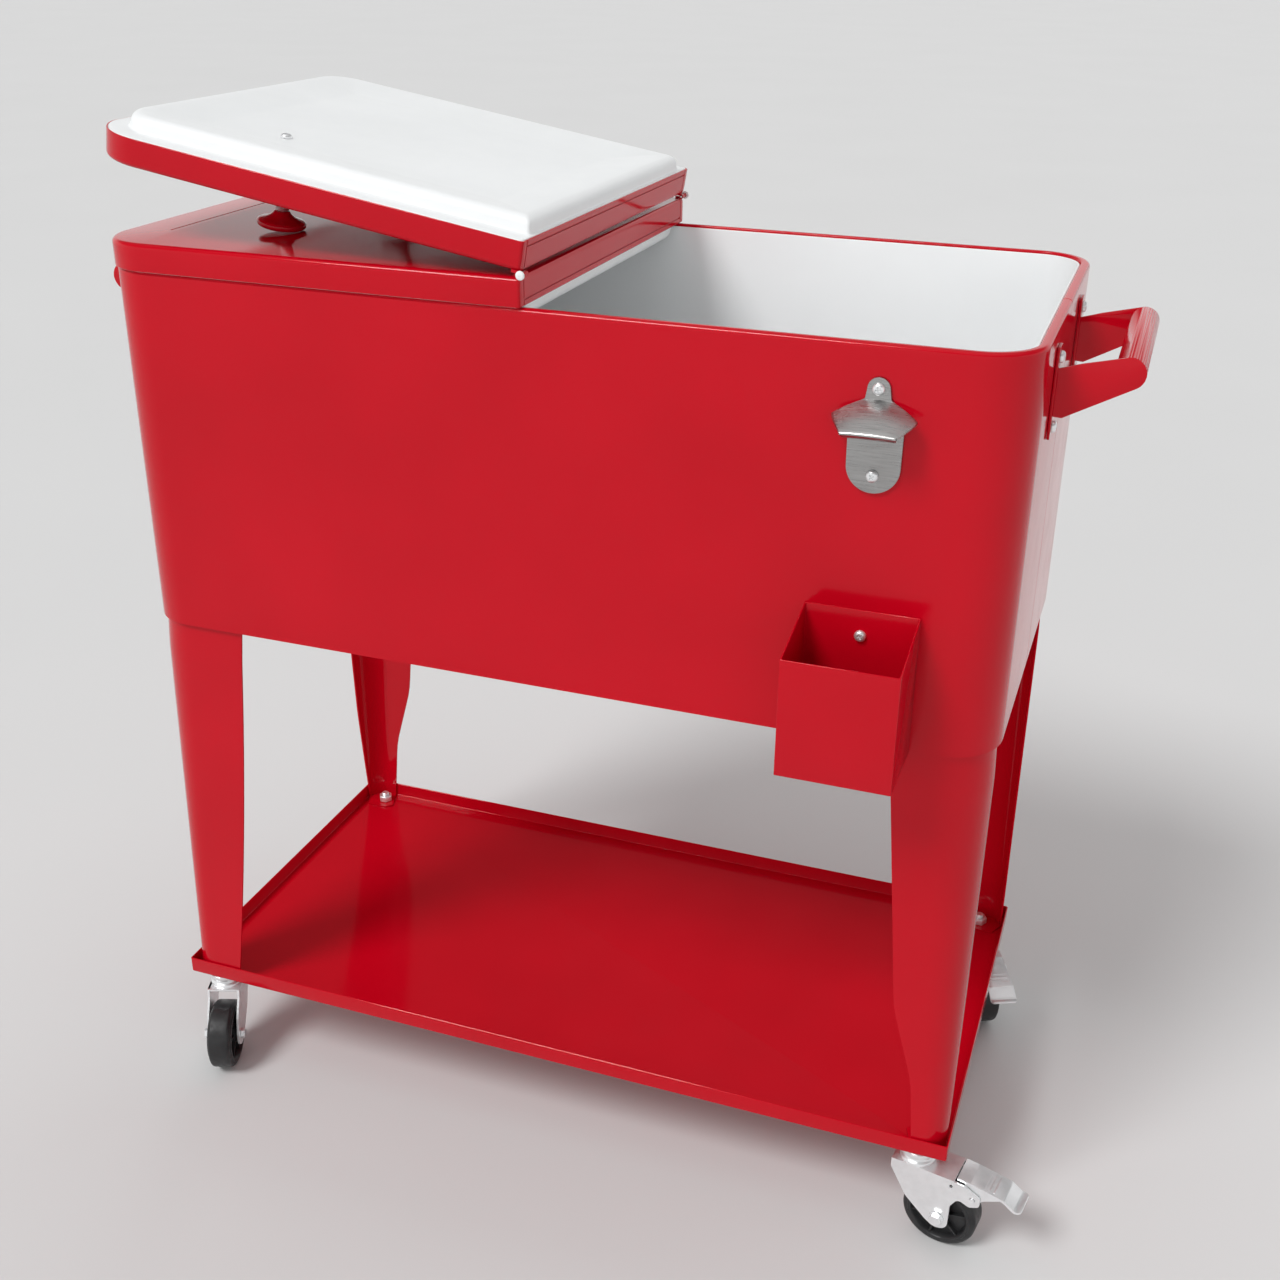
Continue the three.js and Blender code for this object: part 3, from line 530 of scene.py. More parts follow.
# -------------------------------- tub
def tub_loop(inset, z):
    """The tub's outline at height z, drawn in by an inset."""
    radius = max(TUB_CORNER - inset, 6)
    right = HALF_LENGTH - inset
    return outline(-right, right, HALF_WIDTH - inset, [(radius, CORNER_STEPS)] * 4, z)


def seamed_loop(inset, z, groove):
    """The tub's outline with a butt seam let into both ends; groove is the (inset, z) of its floor."""
    loop = tub_loop(inset, z)
    half = len(loop) // 2
    floor_x = HALF_LENGTH - groove[0]
    wall_x = HALF_LENGTH - inset

    def seam(side):
        across = [(wall_x, -SEAM_HALF, z), (floor_x, -SEAM_HALF * 0.5, groove[1])]
        across += [(floor_x, SEAM_HALF * 0.5, groove[1]), (wall_x, SEAM_HALF, z)]
        return [(side * x, side * y, height) for x, y, height in across]

    return seam(1) + loop[:half] + seam(-1) + loop[half:]


def arc(cx, cy, radius, start, end, steps):
    """Points on an arc, angles in degrees."""
    turns = [radians(start + (end - start) * i / steps) for i in range(steps + 1)]
    return [(cx + radius * cos(turn), cy + radius * sin(turn)) for turn in turns]


def casing():
    """The painted sheet wall: its top edge rolled over inwards and down, a butt seam at each end."""
    roll, fold = RIM_ROLL, RIM_FOLD
    outside = [(0, z) for z in (SKIRT_Z, SKIRT_Z + 1, 560, 660)]
    outside += [(roll - x, RIM_Z - roll + y) for x, y in arc(0, 0, roll, 0, 90, 6)]
    crest = [(RIM_BAND / 2 + 1, RIM_Z + 0.05)]
    turn_in = [(RIM_BAND - fold + x, RIM_Z - fold + y) for x, y in arc(0, 0, fold, 90, 0, 4)]
    face = outside + crest + turn_in + [(RIM_BAND, RIM_Z - RIM_RETURN)]
    back = [(RIM_BAND - CASING_WALL, RIM_Z - RIM_RETURN), (RIM_BAND - CASING_WALL, RIM_Z - 1.8)]
    back += [(roll, RIM_Z - 1.8), (CASING_WALL, RIM_Z - roll - 1), (CASING_WALL, SKIRT_Z)]
    loops = []
    for i, (inset, z) in enumerate(face):
        before, after = face[max(i - 1, 0)], face[min(i + 1, len(face) - 1)]
        along_x, along_z = after[0] - before[0], after[1] - before[1]
        length = hypot(along_x, along_z)
        deep = SEAM_DEPTH if i < len(face) - 1 else SEAM_DEPTH * 0.5
        groove = (inset + deep * along_z / length, z - deep * along_x / length)
        loops.append(seamed_loop(inset, z, groove))
    loops += [seamed_loop(inset, z, (inset + 0.05, z)) for inset, z in back]
    return finish_piece(object_of("casing_shell", hoop(loops)), "outer_casing", RED, 30)


def liner_inset(z):
    """The leaning wall's inset from the tub's outline at height z."""
    share = (LINER_TOP_Z - z) / (LINER_TOP_Z - LINER_FLOOR_Z)
    return LINER_INSET + share * (LINER_FLOOR_INSET - LINER_INSET)


def basin():
    """The white liner: leaning walls, a rounded rim and a generous radius round its floor."""
    def bend(radius, z0, extra):
        turns = [radians(90 * i / 8) for i in range(9)]
        base = liner_inset(z0 + radius) + extra
        return [tub_loop(base + radius * (1 - sin(turn)), z0 + radius * (1 - cos(turn))) for turn in turns]

    inset = liner_inset(LINER_TOP_Z)
    lip = LINER_WALL / 2
    rim = [tub_loop(inset + lip - x, LINER_TOP_Z - lip + y) for x, y in arc(0, 0, lip, 0, 180, 6)]
    loops = bend(LINER_FLOOR_ROUND, LINER_FLOOR_Z, 0) + rim
    loops += reversed(bend(LINER_FLOOR_ROUND - LINER_WALL, LINER_FLOOR_Z + LINER_WALL, LINER_WALL))
    return finish_piece(object_of("basin_liner", skin(loops)), "inner_liner", WHITE, 50)


# -------------------------------- legs and tray
LEG_WIDE = {"top": 96, "foot": 49, "bow": 4}
NARROW_FLANGE = ((LEG_TOP_Z, 77), (236, 53), (165, 33), (TRAY_Z, 27))
END_FLANGE = ((LEG_TOP_Z, 42), (212, 28), (TRAY_Z, 15))


def along(points, z):
    """A value that runs straight between (height, value) points, highest first."""
    for (high_z, high), (low_z, low) in zip(points, points[1:]):
        if z >= low_z:
            share = min((z - low_z) / (high_z - low_z), 1)
            return low + share * (high - low)
    return points[-1][1]


def wide_flange(z):
    """The width of the wider leg's front flange, slightly bowed."""
    share = (z - TRAY_Z) / (LEG_TOP_Z - TRAY_Z)
    bow = LEG_WIDE["bow"] * 4 * share * (1 - share)
    return LEG_WIDE["foot"] + share * (LEG_WIDE["top"] - LEG_WIDE["foot"]) + bow


def softened(points, z, reach=10):
    """The same broken line with its knees rounded off over a short height."""
    samples = [along(points, z + offset * reach) for offset in (-1, -0.5, 0, 0.5, 1)]
    return sum(samples) / len(samples)


def narrow_flange(z):
    return softened(NARROW_FLANGE, z)


def end_flange(z):
    return softened(END_FLANGE, z)


def leg_path(z, inset, flange, end):
    """Points along the bent section at height z, from one flange's edge to the other's."""
    share = (z - TRAY_Z) / (LEG_TOP_Z - TRAY_Z)
    corner = LEG_FOOT_CORNER + share * (LEG_CORNER - LEG_FOOT_CORNER)
    radius = corner - inset
    reach = (flange - corner, end - corner)
    flat = [max(length, 0) for length in reach]
    missing = [asin(max(-length, 0) / corner) for length in reach]
    sweep = pi / 2 - missing[0] - missing[1]
    cx, cy = HALF_LENGTH - LEG_INSET - corner, HALF_WIDTH - LEG_INSET - corner
    points = [(cx - flat[0] * (1 - i / 4), cy + radius * cos(missing[0]), z) for i in range(4)]
    for i in range(13):
        turn = pi / 2 - missing[0] - sweep * i / 12
        points.append((cx + radius * cos(turn), cy + radius * sin(turn), z))
    x, y, _ = points[-1]
    apart = 0.01  # keeps the points distinct where the flange has no flat
    points += [(x, y - flat[1] * i / 3 - apart * i, z) for i in range(1, 4)]
    return points


def leg_step(z):
    """How far the leg draws in at height z, rising to its full step at the skirt's edge."""
    return LEG_STEP * min(max((z - SKIRT_Z + LEG_STEP_RUN) / LEG_STEP_RUN, 0), 1)


def leg(corner):
    """Bent sheet with two flanges, and a foot plate under the stem nut."""
    flange = wide_flange if corner in ("front_left", "rear_right") else narrow_flange
    foot_z = TRAY_Z + SHEET + GAP
    steps = 36
    heights = [foot_z + (LEG_TOP_Z - foot_z) * i / steps for i in range(steps + 1)]
    outer = [leg_path(z, leg_step(z), flange(z), end_flange(z)) for z in heights]
    inner = [leg_path(z, leg_step(z) + LEG_SHEET, flange(z), end_flange(z)) for z in heights]
    side_x, side_y = side_of(corner)
    mirror = Matrix.Diagonal((side_x, side_y, 1, 1))
    piece = object_of(corner + "_leg_sheet", sheet(outer, inner), mirror)
    stem_x, stem_y = stem_place(corner)
    stem_x, stem_y = abs(stem_x), abs(stem_y)
    edge = [(x, y) for x, y, _ in leg_path(foot_z, 0.4, flange(foot_z), end_flange(foot_z))]
    tongue = [(HALF_LENGTH - 10, stem_y - 13), (stem_x - 6, stem_y - 13), (stem_x - 13, stem_y - 7)]
    foot = shifted(plate(edge + tongue, LEG_SHEET), 0, 0, foot_z)
    combine(piece, [foot], "UNION", mirror)
    soften(piece, 0.35, 2, 55)
    return finish_piece(piece, corner + "_leg", RED, 40)


def tray():
    """A shallow pan of folded sheet with sharp folds and closed corners."""
    x, y = TRAY_LENGTH / 2, TRAY_WIDTH / 2

    def loop(inset, z, radius):
        return outline(inset - x, x - inset, y - inset, [(max(radius, 0.4), 4)] * 4, z)

    fold = 1.6
    outside = [loop(fold - a, TRAY_Z + fold - b, 1.6) for a, b in arc(0, 0, fold, 90, 0, 4)]
    lip = [loop(0, TRAY_Z + TRAY_LIP - 0.3, 1.6), loop(0.3, TRAY_Z + TRAY_LIP, 1.4)]
    lip += [loop(SHEET - 0.3, TRAY_Z + TRAY_LIP, 0.7), loop(SHEET, TRAY_Z + TRAY_LIP - 0.3, 0.6)]
    bend = 1.0
    inside = [loop(SHEET + bend - a, TRAY_Z + SHEET + bend - b, 0.6) for a, b in arc(0, 0, bend, 0, 90, 4)]
    piece = object_of("shelf_pan", skin(outside + lip + inside))
    return finish_piece(piece, "shelf_tray", RED)


# -------------------------------- casters
def tub_point(point):
    """A point of the part's frame, in metres, as millimetres in the tub's frame."""
    return TUB_TO_PART.inverted() @ Vector(point)


def stem_place(corner):
    """A caster's stem as (x, y) in the tub's frame."""
    point = tub_point(JOINTS[corner + "_caster_swivel"]["pos_m"])
    return point.x, point.y


def caster_turn(corner):
    """Places the fork's own frame: its origin under the stem, +X along the trail."""
    stem = tub_point(JOINTS[corner + "_caster_swivel"]["pos_m"])
    axle = tub_point(JOINTS[corner + "_wheel_spin"]["pos_m"])
    heading = atan2(axle.y - stem.y, axle.x - stem.x)
    return Matrix.Translation((stem.x, stem.y, 0)) @ Matrix.Rotation(heading, 4, "Z")


def caster_head(corner):
    """The fixed head: threaded stem, pressed bearing cup with two ring steps, and the swivel pin."""
    top = TRAY_Z - GAP
    thread_top = TRAY_Z + 13
    thread = []
    for i in range(6):
        z = thread_top - 0.8 - i
        thread += [(STEM_RADIUS - 0.25, z + 0.3), (STEM_RADIUS, z), (STEM_RADIUS - 0.25, z - 0.3)]
    profile = [(STEM_RADIUS - 0.7, thread_top), *thread, (STEM_RADIUS, top), (13.6, top), (14.4, top - 0.4)]
    profile += [(14.6, top - 1.4), (15.4, top - 2.0), (16.3, top - 2.8), (16.5, top - 3.6)]
    profile += [(16.5, top - 6.6), (16.1, top - 7.6), (15, top - 8.6), (14.2, top - 9), (5, top - 9)]
    profile += [(5, CROWN_Z - 3), (8.5, CROWN_Z - 3), (8.2, CROWN_Z - 4.6), (7, CROWN_Z - 6)]
    x, y = stem_place(corner)
    piece = object_of(corner + "_bearing_cup", turned(profile, 40), Matrix.Translation((x, y, 0)))
    return finish_piece(piece, corner + "_caster_head", ZINC, 32)


def stem_nut(corner):
    """A hexagon nut with chamfered corners."""
    bottom = TRAY_Z + SHEET + GAP + LEG_SHEET + GAP
    hexagon = [circle(NUT_RADIUS - chamfer, z, 6) for chamfer, z in ((0.5, 0), (0, 0.5), (0, 6), (0.5, 6.5))]
    x, y = stem_place(corner)
    place = Matrix.Translation((x, y, bottom))
    piece = object_of(corner + "_nut", skin(hexagon), place)
    combine(piece, [shifted(turned([(4.3, 0), (4.3, 12)]), 0, 0, -2)], "DIFFERENCE", place)
    soften(piece, 0.25)
    return finish_piece(piece, corner + "_stem_nut", ZINC)


def fork_side(brake):
    """The fork's side shape in the plane of the wheel, as (along the trail, height)."""
    heel = [(-18, CROWN_Z), (-18, CROWN_Z - 9), (-3, 43)]
    lobe = [(CASTER_TRAIL - 10, 26), (CASTER_TRAIL - 2, 21), (CASTER_TRAIL + 9.5, 23.5)]
    toe = [(CASTER_TRAIL + 9.8, 36)]
    corners = heel + lobe + toe
    radii = [2, 5, 14, 8, 9, 8, 7]
    if brake:
        arm = [(36, 50), (42, 60.5), (52, 56.5), (60.3, 60.5), (60.3, 69.5), (46, 76.6), (20, CROWN_Z)]
        return rounded(corners + arm, [*radii, 6, 5, 4, 3, 3.5, 4, 0])
    neck = [(CASTER_TRAIL + 5, 54), (20, 69), (18, CROWN_Z)]
    return rounded(corners + neck, [*radii, 8, 6, 2])


def fork(corner):
    """Crown and sides in one bent piece, and a raised race ring on the crown."""
    brake = corner.endswith("right")
    place = caster_turn(corner)
    inside = AXLE_HALF - FORK_PLATE
    side = plate(fork_side(brake), FORK_PLATE)
    sides = [shifted(spun(side, 90, "X"), 0, at, 0) for at in (AXLE_HALF, -inside)]
    crown = block((-18, -AXLE_HALF, CROWN_Z - 2), (37 if brake else 18, AXLE_HALF, CROWN_Z))
    piece = object_of(corner + "_fork", crown, place)
    race = [(15.6, CROWN_Z - 1), (15.6, CROWN_Z + 1.4), (15.2, CROWN_Z + 2.4), (14.2, CROWN_Z + 3)]
    race += [(13.6, CROWN_Z + 4.2), (13, CROWN_Z + 5.2), (12.2, CROWN_Z + 5.4)]
    combine(piece, [*sides, turned(race)], "UNION", place)
    bores = [turned([(5.5, CROWN_Z - 15), (5.5, CROWN_Z + 15)])]
    across = [(3.3, CASTER_TRAIL, WHEEL_RADIUS)]
    if brake:
        across += [(2.3, PEDAL_X, PEDAL_Z), (1.6, 35, 71.6)]
    for radius, x, z in across:
        bore = spun(turned([(radius, -30), (radius, 30)]), 90, "X")
        bores.append(shifted(bore, x, 0, z))
    combine(piece, bores, "DIFFERENCE", place)
    soften(piece, 0.5, 3, 45)
    return finish_piece(piece, corner + "_caster_fork", ZINC, 40)


def wheel(corner):
    """A moulded wheel: flat tread, rounded shoulders, rim ring, sunk web with ribs, and a hub."""
    half = WHEEL_WIDTH / 2
    r = WHEEL_RADIUS
    hub = [(3.4, 0.96), (4, 1), (7.6, 1), (8.6, 0.94), (9, 0.55)]
    rim = [(r - 9, 0.5), (r - 8.3, 0.9), (r - 7.4, 1), (r - 5, 1), (r - 4.4, 0.93)]
    turns = [radians(turn) for turn in range(0, 91, 15)]
    shoulder = [(r - 4 + 4 * sin(turn), 0.64 + 0.28 * cos(turn)) for turn in turns]
    side = [*hub, *rim, *shoulder, (r, 0.3)]
    profile = [(radius, share * half) for radius, share in side]
    profile += [(radius, -share * half) for radius, share in reversed(side)]
    shape = turned_ring(profile, 64)
    ribs = []
    for face in (1, -1):
        low, high = sorted((face * half * 0.4, face * half * 0.86))
        for i in range(6):
            ribs.append(spun(block((8, -0.8, low), (r - 8, 0.8, high)), 60 * i + 15, "Z"))
    place = caster_turn(corner) @ Matrix.Translation((CASTER_TRAIL, 0, WHEEL_RADIUS))
    place = place @ Matrix.Rotation(pi / 2, 4, "X")
    piece = object_of(corner + "_roller", together(shape, *ribs), place)
    return finish_piece(piece, corner + "_wheel", BLACK, 30)


def axle(corner):
    """The axle bolt: a chamfered hexagon head on a washer, and a lock nut on the other side."""
    reach = AXLE_HALF + GAP
    flats = [(5.0, 4.6), (5.6, 4.1), (5.6, 1.3), (5.3, 1.1)]
    head = skin([circle(radius, reach + z, 6) for radius, z in flats])
    washer = turned([(6.2, reach), (6.2, reach + 0.9), (5.9, reach + 1.2)])
    shank = turned([(3, -reach - 3.6), (3, reach + 1)])
    nut = skin([circle(radius, -reach - z, 6) for radius, z in ((5.2, 0), (5.2, 2.6), (4.6, 3))])
    collar = turned([(4.4, -reach - 2.6), (4.3, -reach - 3.3), (3.4, -reach - 3.6)])
    place = caster_turn(corner) @ Matrix.Translation((CASTER_TRAIL, 0, WHEEL_RADIUS))
    place = place @ Matrix.Rotation(pi / 2, 4, "X")
    piece = object_of(corner + "_axle_bolt", together(head, washer, shank, nut, collar), place)
    return finish_piece(piece, corner + "_axle", ZINC, 30)


def pedal(corner):
    """The brake pedal: a bent, ridged channel with a round-cornered tip, on its own pivot pin."""
    place = caster_turn(corner)
    half = AXLE_HALF - FORK_PLATE - 0.5
    under = [(39, 78.5), (50, 77.5), (78, 73), (88, 66), (94, 66.5)]
    top = [(94.5, 68.5), (89, 68.2), (79, 75.2), (50.5, 79.7), (39, 80.7)]
    tread_outline = rounded([*under, *top], [0, 10, 6, 5, 0.9, 0.9, 5, 6, 10, 0], 5)
    tread = shifted(spun(plate(tread_outline, 2 * half), 90, "X"), 0, half, 0)
    ear_corners = [(46, 79.5), (46, 64), (50, 60), (57, 60), (62, 66), (78, 74.2)]
    ear_plate = spun(plate(rounded(ear_corners, [0, 0, 4, 4, 6, 0]), 1.6), 90, "X")
    ears = [shifted(ear_plate, 0, at, 0) for at in (half, 1.6 - half)]
    piece = object_of(corner + "_pedal_channel", tread, place)
    ridges = []
    for x in (62, 66, 70):
        ridge = block((x - 0.7, 3 - half, 74.2), (x + 0.7, half - 3, 77.6 - (x - 60) * 0.12))
        ridges.append(shifted(ridge, 0, 0, 0.6))
    pin = shifted(spun(turned([(2, -AXLE_HALF - 1), (2, AXLE_HALF + 1)]), 90, "X"), PEDAL_X, 0, PEDAL_Z)
    combine(piece, [*ears, *ridges, pin], "UNION", place)
    tip, r = PEDAL_TIP, PEDAL_TIP_ROUND
    waste = arc(tip - r, half - r, r, 0, 90, 8)
    waste += [(tip - r, half + 1), (tip + 1, half + 1), (tip + 1, half - r)]
    far_waste = [(x, -y) for x, y in reversed(waste)]
    combine(piece, [shifted(plate(edge, 30), 0, 0, 55) for edge in (waste, far_waste)], "DIFFERENCE", place)
    soften(piece, 0.4, 2, 45)
    return finish_piece(piece, corner + "_brake_pedal", ZINC, 40)


# -------------------------------- lids
def lid_loop(inset, hinge_inset, z, side_inset=None):
    """A half lid's outline at height z, drawn in by insets."""
    far = (max(LID_CORNER - inset, 4), CORNER_STEPS)
    near = (2.5, 5)
    half = LID_WIDTH / 2 - (inset if side_inset is None else side_inset)
    return outline(HINGE_GAP + hinge_inset, LID_LENGTH - inset, half, [far, near, near, far], z)


def lid_place(side):
    """Places the hinge frame of a half lid: the left one turned about Z, the right one folded over."""
    up = Matrix.Translation((0, 0, HINGE_Z))
    if side == "left":
        return up @ Matrix.Rotation(pi, 4, "Z")
    folded = radians(180 - JOINTS["right_lid_hinge"]["range_deg"][1])
    return up @ Matrix.Rotation(folded - pi, 4, "Y")


def lid_shell(side):
    """The painted half lid: rounded top edge, a pressed line, a hemmed hinge end and two hinge ears."""
    wall = SHEET
    turns = [radians(turn) for turn in range(90, -1, -15)]
    crest = [lid_loop(LID_ROUND * (1 - cos(turn)), 1 - cos(turn), LID_TOP - LID_ROUND * (1 - sin(turn)))
             for turn in turns]
    outside = [*crest, lid_loop(0, 0, LID_FOOT + 0.4), lid_loop(0.3, 0.3, LID_FOOT)]
    inside = [lid_loop(wall - 0.3, wall - 0.3, LID_FOOT), lid_loop(wall, wall, LID_FOOT + 0.4)]
    inside += [lid_loop(wall, wall, LID_TOP - LID_ROUND), lid_loop(LID_ROUND, wall + 1, LID_TOP - wall)]
    place = lid_place(side)
    piece = object_of(side + "_lid_skin", skin([*outside, *inside]), place)
    end = LID_WIDTH / 2
    inner_ear = end - EAR_WIDTH - EAR_GAP
    ears = [*ear(-end, EAR_WIDTH - end), *ear(inner_ear - EAR_WIDTH, inner_ear)]
    combine(piece, ears, "UNION", place)
    crease = spun(plate([(-0.9, 0), (0.9, 0), (0, -0.75)], CREASE_LENGTH), 90, "X")
    crease = shifted(crease, CREASE_X, CREASE_LENGTH / 2, LID_TOP + 0.02)
    combine(piece, [crease, *hem_lines()], "DIFFERENCE", place)
    return finish_piece(piece, side + "_lid_shell", RED, 28)


def hem_lines():
    """Fine grooves in the hinge end: along the hem and up each side where the sheet turns."""
    deep, wide = 0.9, 0.6
    face = HINGE_GAP
    side = LID_WIDTH / 2 - HEM_SIDE
    hem_z = LID_FOOT + HEM
    lines = [block((face - 1, -side, hem_z - wide), (face + deep, side, hem_z + wide))]
    for y in (-side, side):
        lines.append(block((face - 1, y - wide, LID_FOOT - 1), (face + deep, y + wide, LID_TOP - 1.5)))
    return lines


def ear(low, high):
    """A hinge ear: an eye round the pin, and the web that ties it to the lid's top."""
    bore, width = PIN_RADIUS + GAP, high - low
    eye = turned_ring([(bore, 0), (EAR_RADIUS, 0), (EAR_RADIUS, width), (bore, width)])
    web = block((bore + 0.2, low, LID_TOP - 0.8), (EAR_WEB, high, -0.6))
    return shifted(spun(eye, 90, "X"), 0, high, 0), web


def lid_liner(side):
    """The white underside: a flange inside the skirt and a raised, dished panel with soft edges."""
    wall = 1.5
    foot = 2
    flange, floor = FLANGE_Z, PANEL_Z
    r = PLUG_ROUND
    edge = SHEET + GAP
    dish = r + DISH_BRIM
    middle = dish + DISH_SLOPE

    def rim(inset, z):
        return lid_loop(inset, inset, z)

    def panel(inset, z):
        return lid_loop(PLUG_FAR + inset, PLUG_HINGE + inset, z, PLUG_SIDE + inset)

    over = [panel(middle, floor + DISH_DEPTH + wall), panel(dish, floor + wall), panel(wall + 0.6, floor + r)]
    over += [panel(wall, flange + wall - 1), rim(edge, flange + wall)]
    under = [rim(edge, flange + 0.4), rim(edge + 0.4, flange)]
    under += [panel(-x, flange - y) for x, y in arc(foot, foot, foot, -90, -180, 5)]
    turns = [radians(turn) for turn in range(0, 91, 10)]
    under += [panel(0.8 + r * (1 - cos(turn)), floor + r * (1 - sin(turn))) for turn in turns]
    under += [panel(dish - 1, floor), panel(dish + 2, floor + 0.1), panel(dish + 5, floor + 0.5)]
    under += [panel(middle - 6, floor + DISH_DEPTH - 0.7), panel(middle, floor + DISH_DEPTH)]
    place = lid_place(side)
    piece = object_of(side + "_lid_panel", skin([*over, *under]), place)
    return finish_piece(piece, side + "_lid_liner", WHITE, 60)


def knob(side):
    """A turned knob on a polished ferrule, held by a bolt up through the lid."""
    place = lid_place(side) @ Matrix.Translation((KNOB_X, KNOB_Y, 0))
    base = LID_TOP + FERRULE_HEIGHT + 2 * GAP
    tip = LID_TOP + KNOB_HEIGHT
    r = KNOB_RADIUS
    bell = [(5.6, base), (6.4, base + 0.5), (7.2, base + 1.6), (9, base + 3.4), (11.6, base + 5)]
    bell += [(14.6, base + 6.2), (17.4, base + 7), (19, base + 7.8), (r, base + 8.9)]
    crown = [(r, tip - 2.4), (r - 0.4, tip - 1.4), (r - 1.3, tip - 0.6), (r - 2.5, tip - 0.1), (r - 4, tip)]
    mushroom = object_of(side + "_knob_turning", turned([*bell, *crown], 56), place)
    finish_piece(mushroom, side + "_knob", RED, 40)
    foot = LID_TOP + GAP
    sleeve = [(2.9, foot), (8.6, foot), (9, foot + 0.5), (8.8, foot + 1.2), (7.9, foot + 2.4)]
    sleeve += [(6.6, foot + 4.4), (5.8, foot + 7.2), (5.4, foot + 10.5)]
    sleeve += [(5.2, base - GAP - 0.5), (4.8, base - GAP), (2.9, base - GAP)]
    ferrule = object_of(side + "_ferrule_sleeve", turned_ring(sleeve, 40), place)
    finish_piece(ferrule, side + "_knob_ferrule", CHROME, 40)
    seat = PANEL_Z + DISH_DEPTH - GAP
    pan = [(4.5, seat), (4.5, seat - 0.7), (4.2, seat - 1.7), (3.4, seat - 2.6), (1.8, seat - 3)]
    bolt = object_of(side + "_bolt", turned([(2.5, base + 8), (2.5, seat), *pan]), place)
    combine(bolt, cross_recess(seat - 4, seat - 1.8), "DIFFERENCE", place)
    finish_piece(bolt, side + "_knob_bolt", ZINC)


def cross_recess(low, high):
    """The two crossed slots of a screw's drive, round the Z axis, between two heights."""
    return [block((-2.1, -0.45, low), (2.1, 0.45, high)), block((-0.45, -2.1, low), (0.45, 2.1, high))]


def hinge_ends():
    """The short pins through the ears and the white caps pressed on them."""
    tip = LID_WIDTH / 2
    for end, turn in (("front", 90), ("rear", -90)):
        place = Matrix.Translation((0, 0, HINGE_Z)) @ Matrix.Rotation(radians(turn), 4, "X")
        start = tip - 2 * EAR_WIDTH - 2
        pin = turned([(PIN_RADIUS - 0.4, start), (PIN_RADIUS, start + 0.5), (PIN_RADIUS, tip + 1.1)], 24)
        piece = object_of("hinge_rod_" + end, pin, place)
        finish_piece(piece, "hinge_pin_" + end, ZINC)
        dome = [(PIN_RADIUS + GAP, tip + GAP), (CAP_RADIUS, tip + GAP), (CAP_RADIUS, tip + 1.0)]
        dome += [(CAP_RADIUS - 0.3, tip + 1.5), (CAP_RADIUS - 0.9, tip + 1.9), (0.4, tip + 2)]
        dome += [(0.4, tip + 1.4), (PIN_RADIUS + GAP, tip + 1.4)]
        cap = object_of("hinge_button_" + end, turned_ring(dome, 32), place)
        finish_piece(cap, "hinge_cap_" + end, WHITE)


# -------------------------------- handles and screws
def end_turn(end):
    """Turns a shape drawn at the tub's +X end to the end it belongs to."""
    return Matrix.Rotation(0 if end > 0 else pi, 4, "Z")


def handle(name, end):
    """Two sheet arms with wall feet and a grip rolled three quarters round."""
    place = end_turn(end)
    wall = HALF_LENGTH + GAP
    tip = arc(GRIP_X, GRIP_Z, GRIP_RADIUS, 105, -63, 16)
    side = [(wall, 706.5), (wall, 741), (wall + 18, 746.5), *tip, (wall + 8, 706)]
    inner = HANDLE_HALF_SPAN - HANDLE_SHEET / 2
    arm = spun(plate(side, HANDLE_SHEET), 90, "X")
    arms = [shifted(arm, 0, at, 0) for at in (inner + HANDLE_SHEET, -inner)]
    low, high = HANDLE_SCREWS_Z[1] - 8, HANDLE_SCREWS_Z[0] + 8
    against_wall = Matrix(((0, 0, 1, wall), (1, 0, 0, 0), (0, 1, 0, 0), (0, 0, 0, 1)))
    feet = []
    for y in (-HANDLE_HALF_SPAN, HANDLE_HALF_SPAN):
        corners = rounded([(y - 11, low), (y + 11, low), (y + 11, high), (y - 11, high)], [4] * 4)
        feet.append(moved(plate(corners, HANDLE_SHEET), against_wall))
    piece = object_of(name + "_handle_frame", grip(inner + 0.5), place)
    combine(piece, [*arms, *feet], "UNION", place)
    soften(piece, 0.4, 2, 50)
    finish_piece(piece, name + "_handle", RED, 40)


def grip(half):
    """The rolled grip between the arms, open underneath on the wall side."""
    def surface(radius):
        round_grip = arc(GRIP_X, GRIP_Z, radius, 150, -70, 30)
        return [[(x, y, z) for x, z in round_grip] for y in (-half, half)]

    return sheet(surface(GRIP_RADIUS), surface(GRIP_RADIUS - HANDLE_SHEET))


def screw(node, place, seat):
    """A pan-head screw with a cross recess along its own +Z."""
    pan = [(4.4, 0), (4.4, 0.9), (4.1, 1.8), (3.4, 2.6), (2.2, 3)]
    piece = object_of(node + "_pan_head", turned([(2, -seat - 1.2), (2, 0), *pan], 28), place)
    combine(piece, cross_recess(1.7, 4), "DIFFERENCE", place)
    finish_piece(piece, node, ZINC)


def handle_screws(name, end):
    """A handle's four screws, turned to different angles."""
    seat = HANDLE_SHEET + 2 * GAP
    for row, z in zip(("upper", "lower"), HANDLE_SCREWS_Z):
        for side in (-1, 1):
            half = "front" if side * end < 0 else "rear"
            place = end_turn(end) @ Matrix.Translation((HALF_LENGTH + seat, side * HANDLE_HALF_SPAN, z))
            place = place @ Matrix.Rotation(pi / 2, 4, "Y") @ Matrix.Rotation(radians(z + 30 * side), 4, "Z")
            screw(f"{name}_handle_screw_{row}_{half}", place, seat)


def front_screw(node, z, seat, turn):
    """A screw into the tub's front wall, in line with the opener."""
    place = Matrix.Translation((OPENER_X, -HALF_WIDTH - seat, z)) @ Matrix.Rotation(pi / 2, 4, "X")
    screw(node, place @ Matrix.Rotation(radians(turn), 4, "Z"), seat)


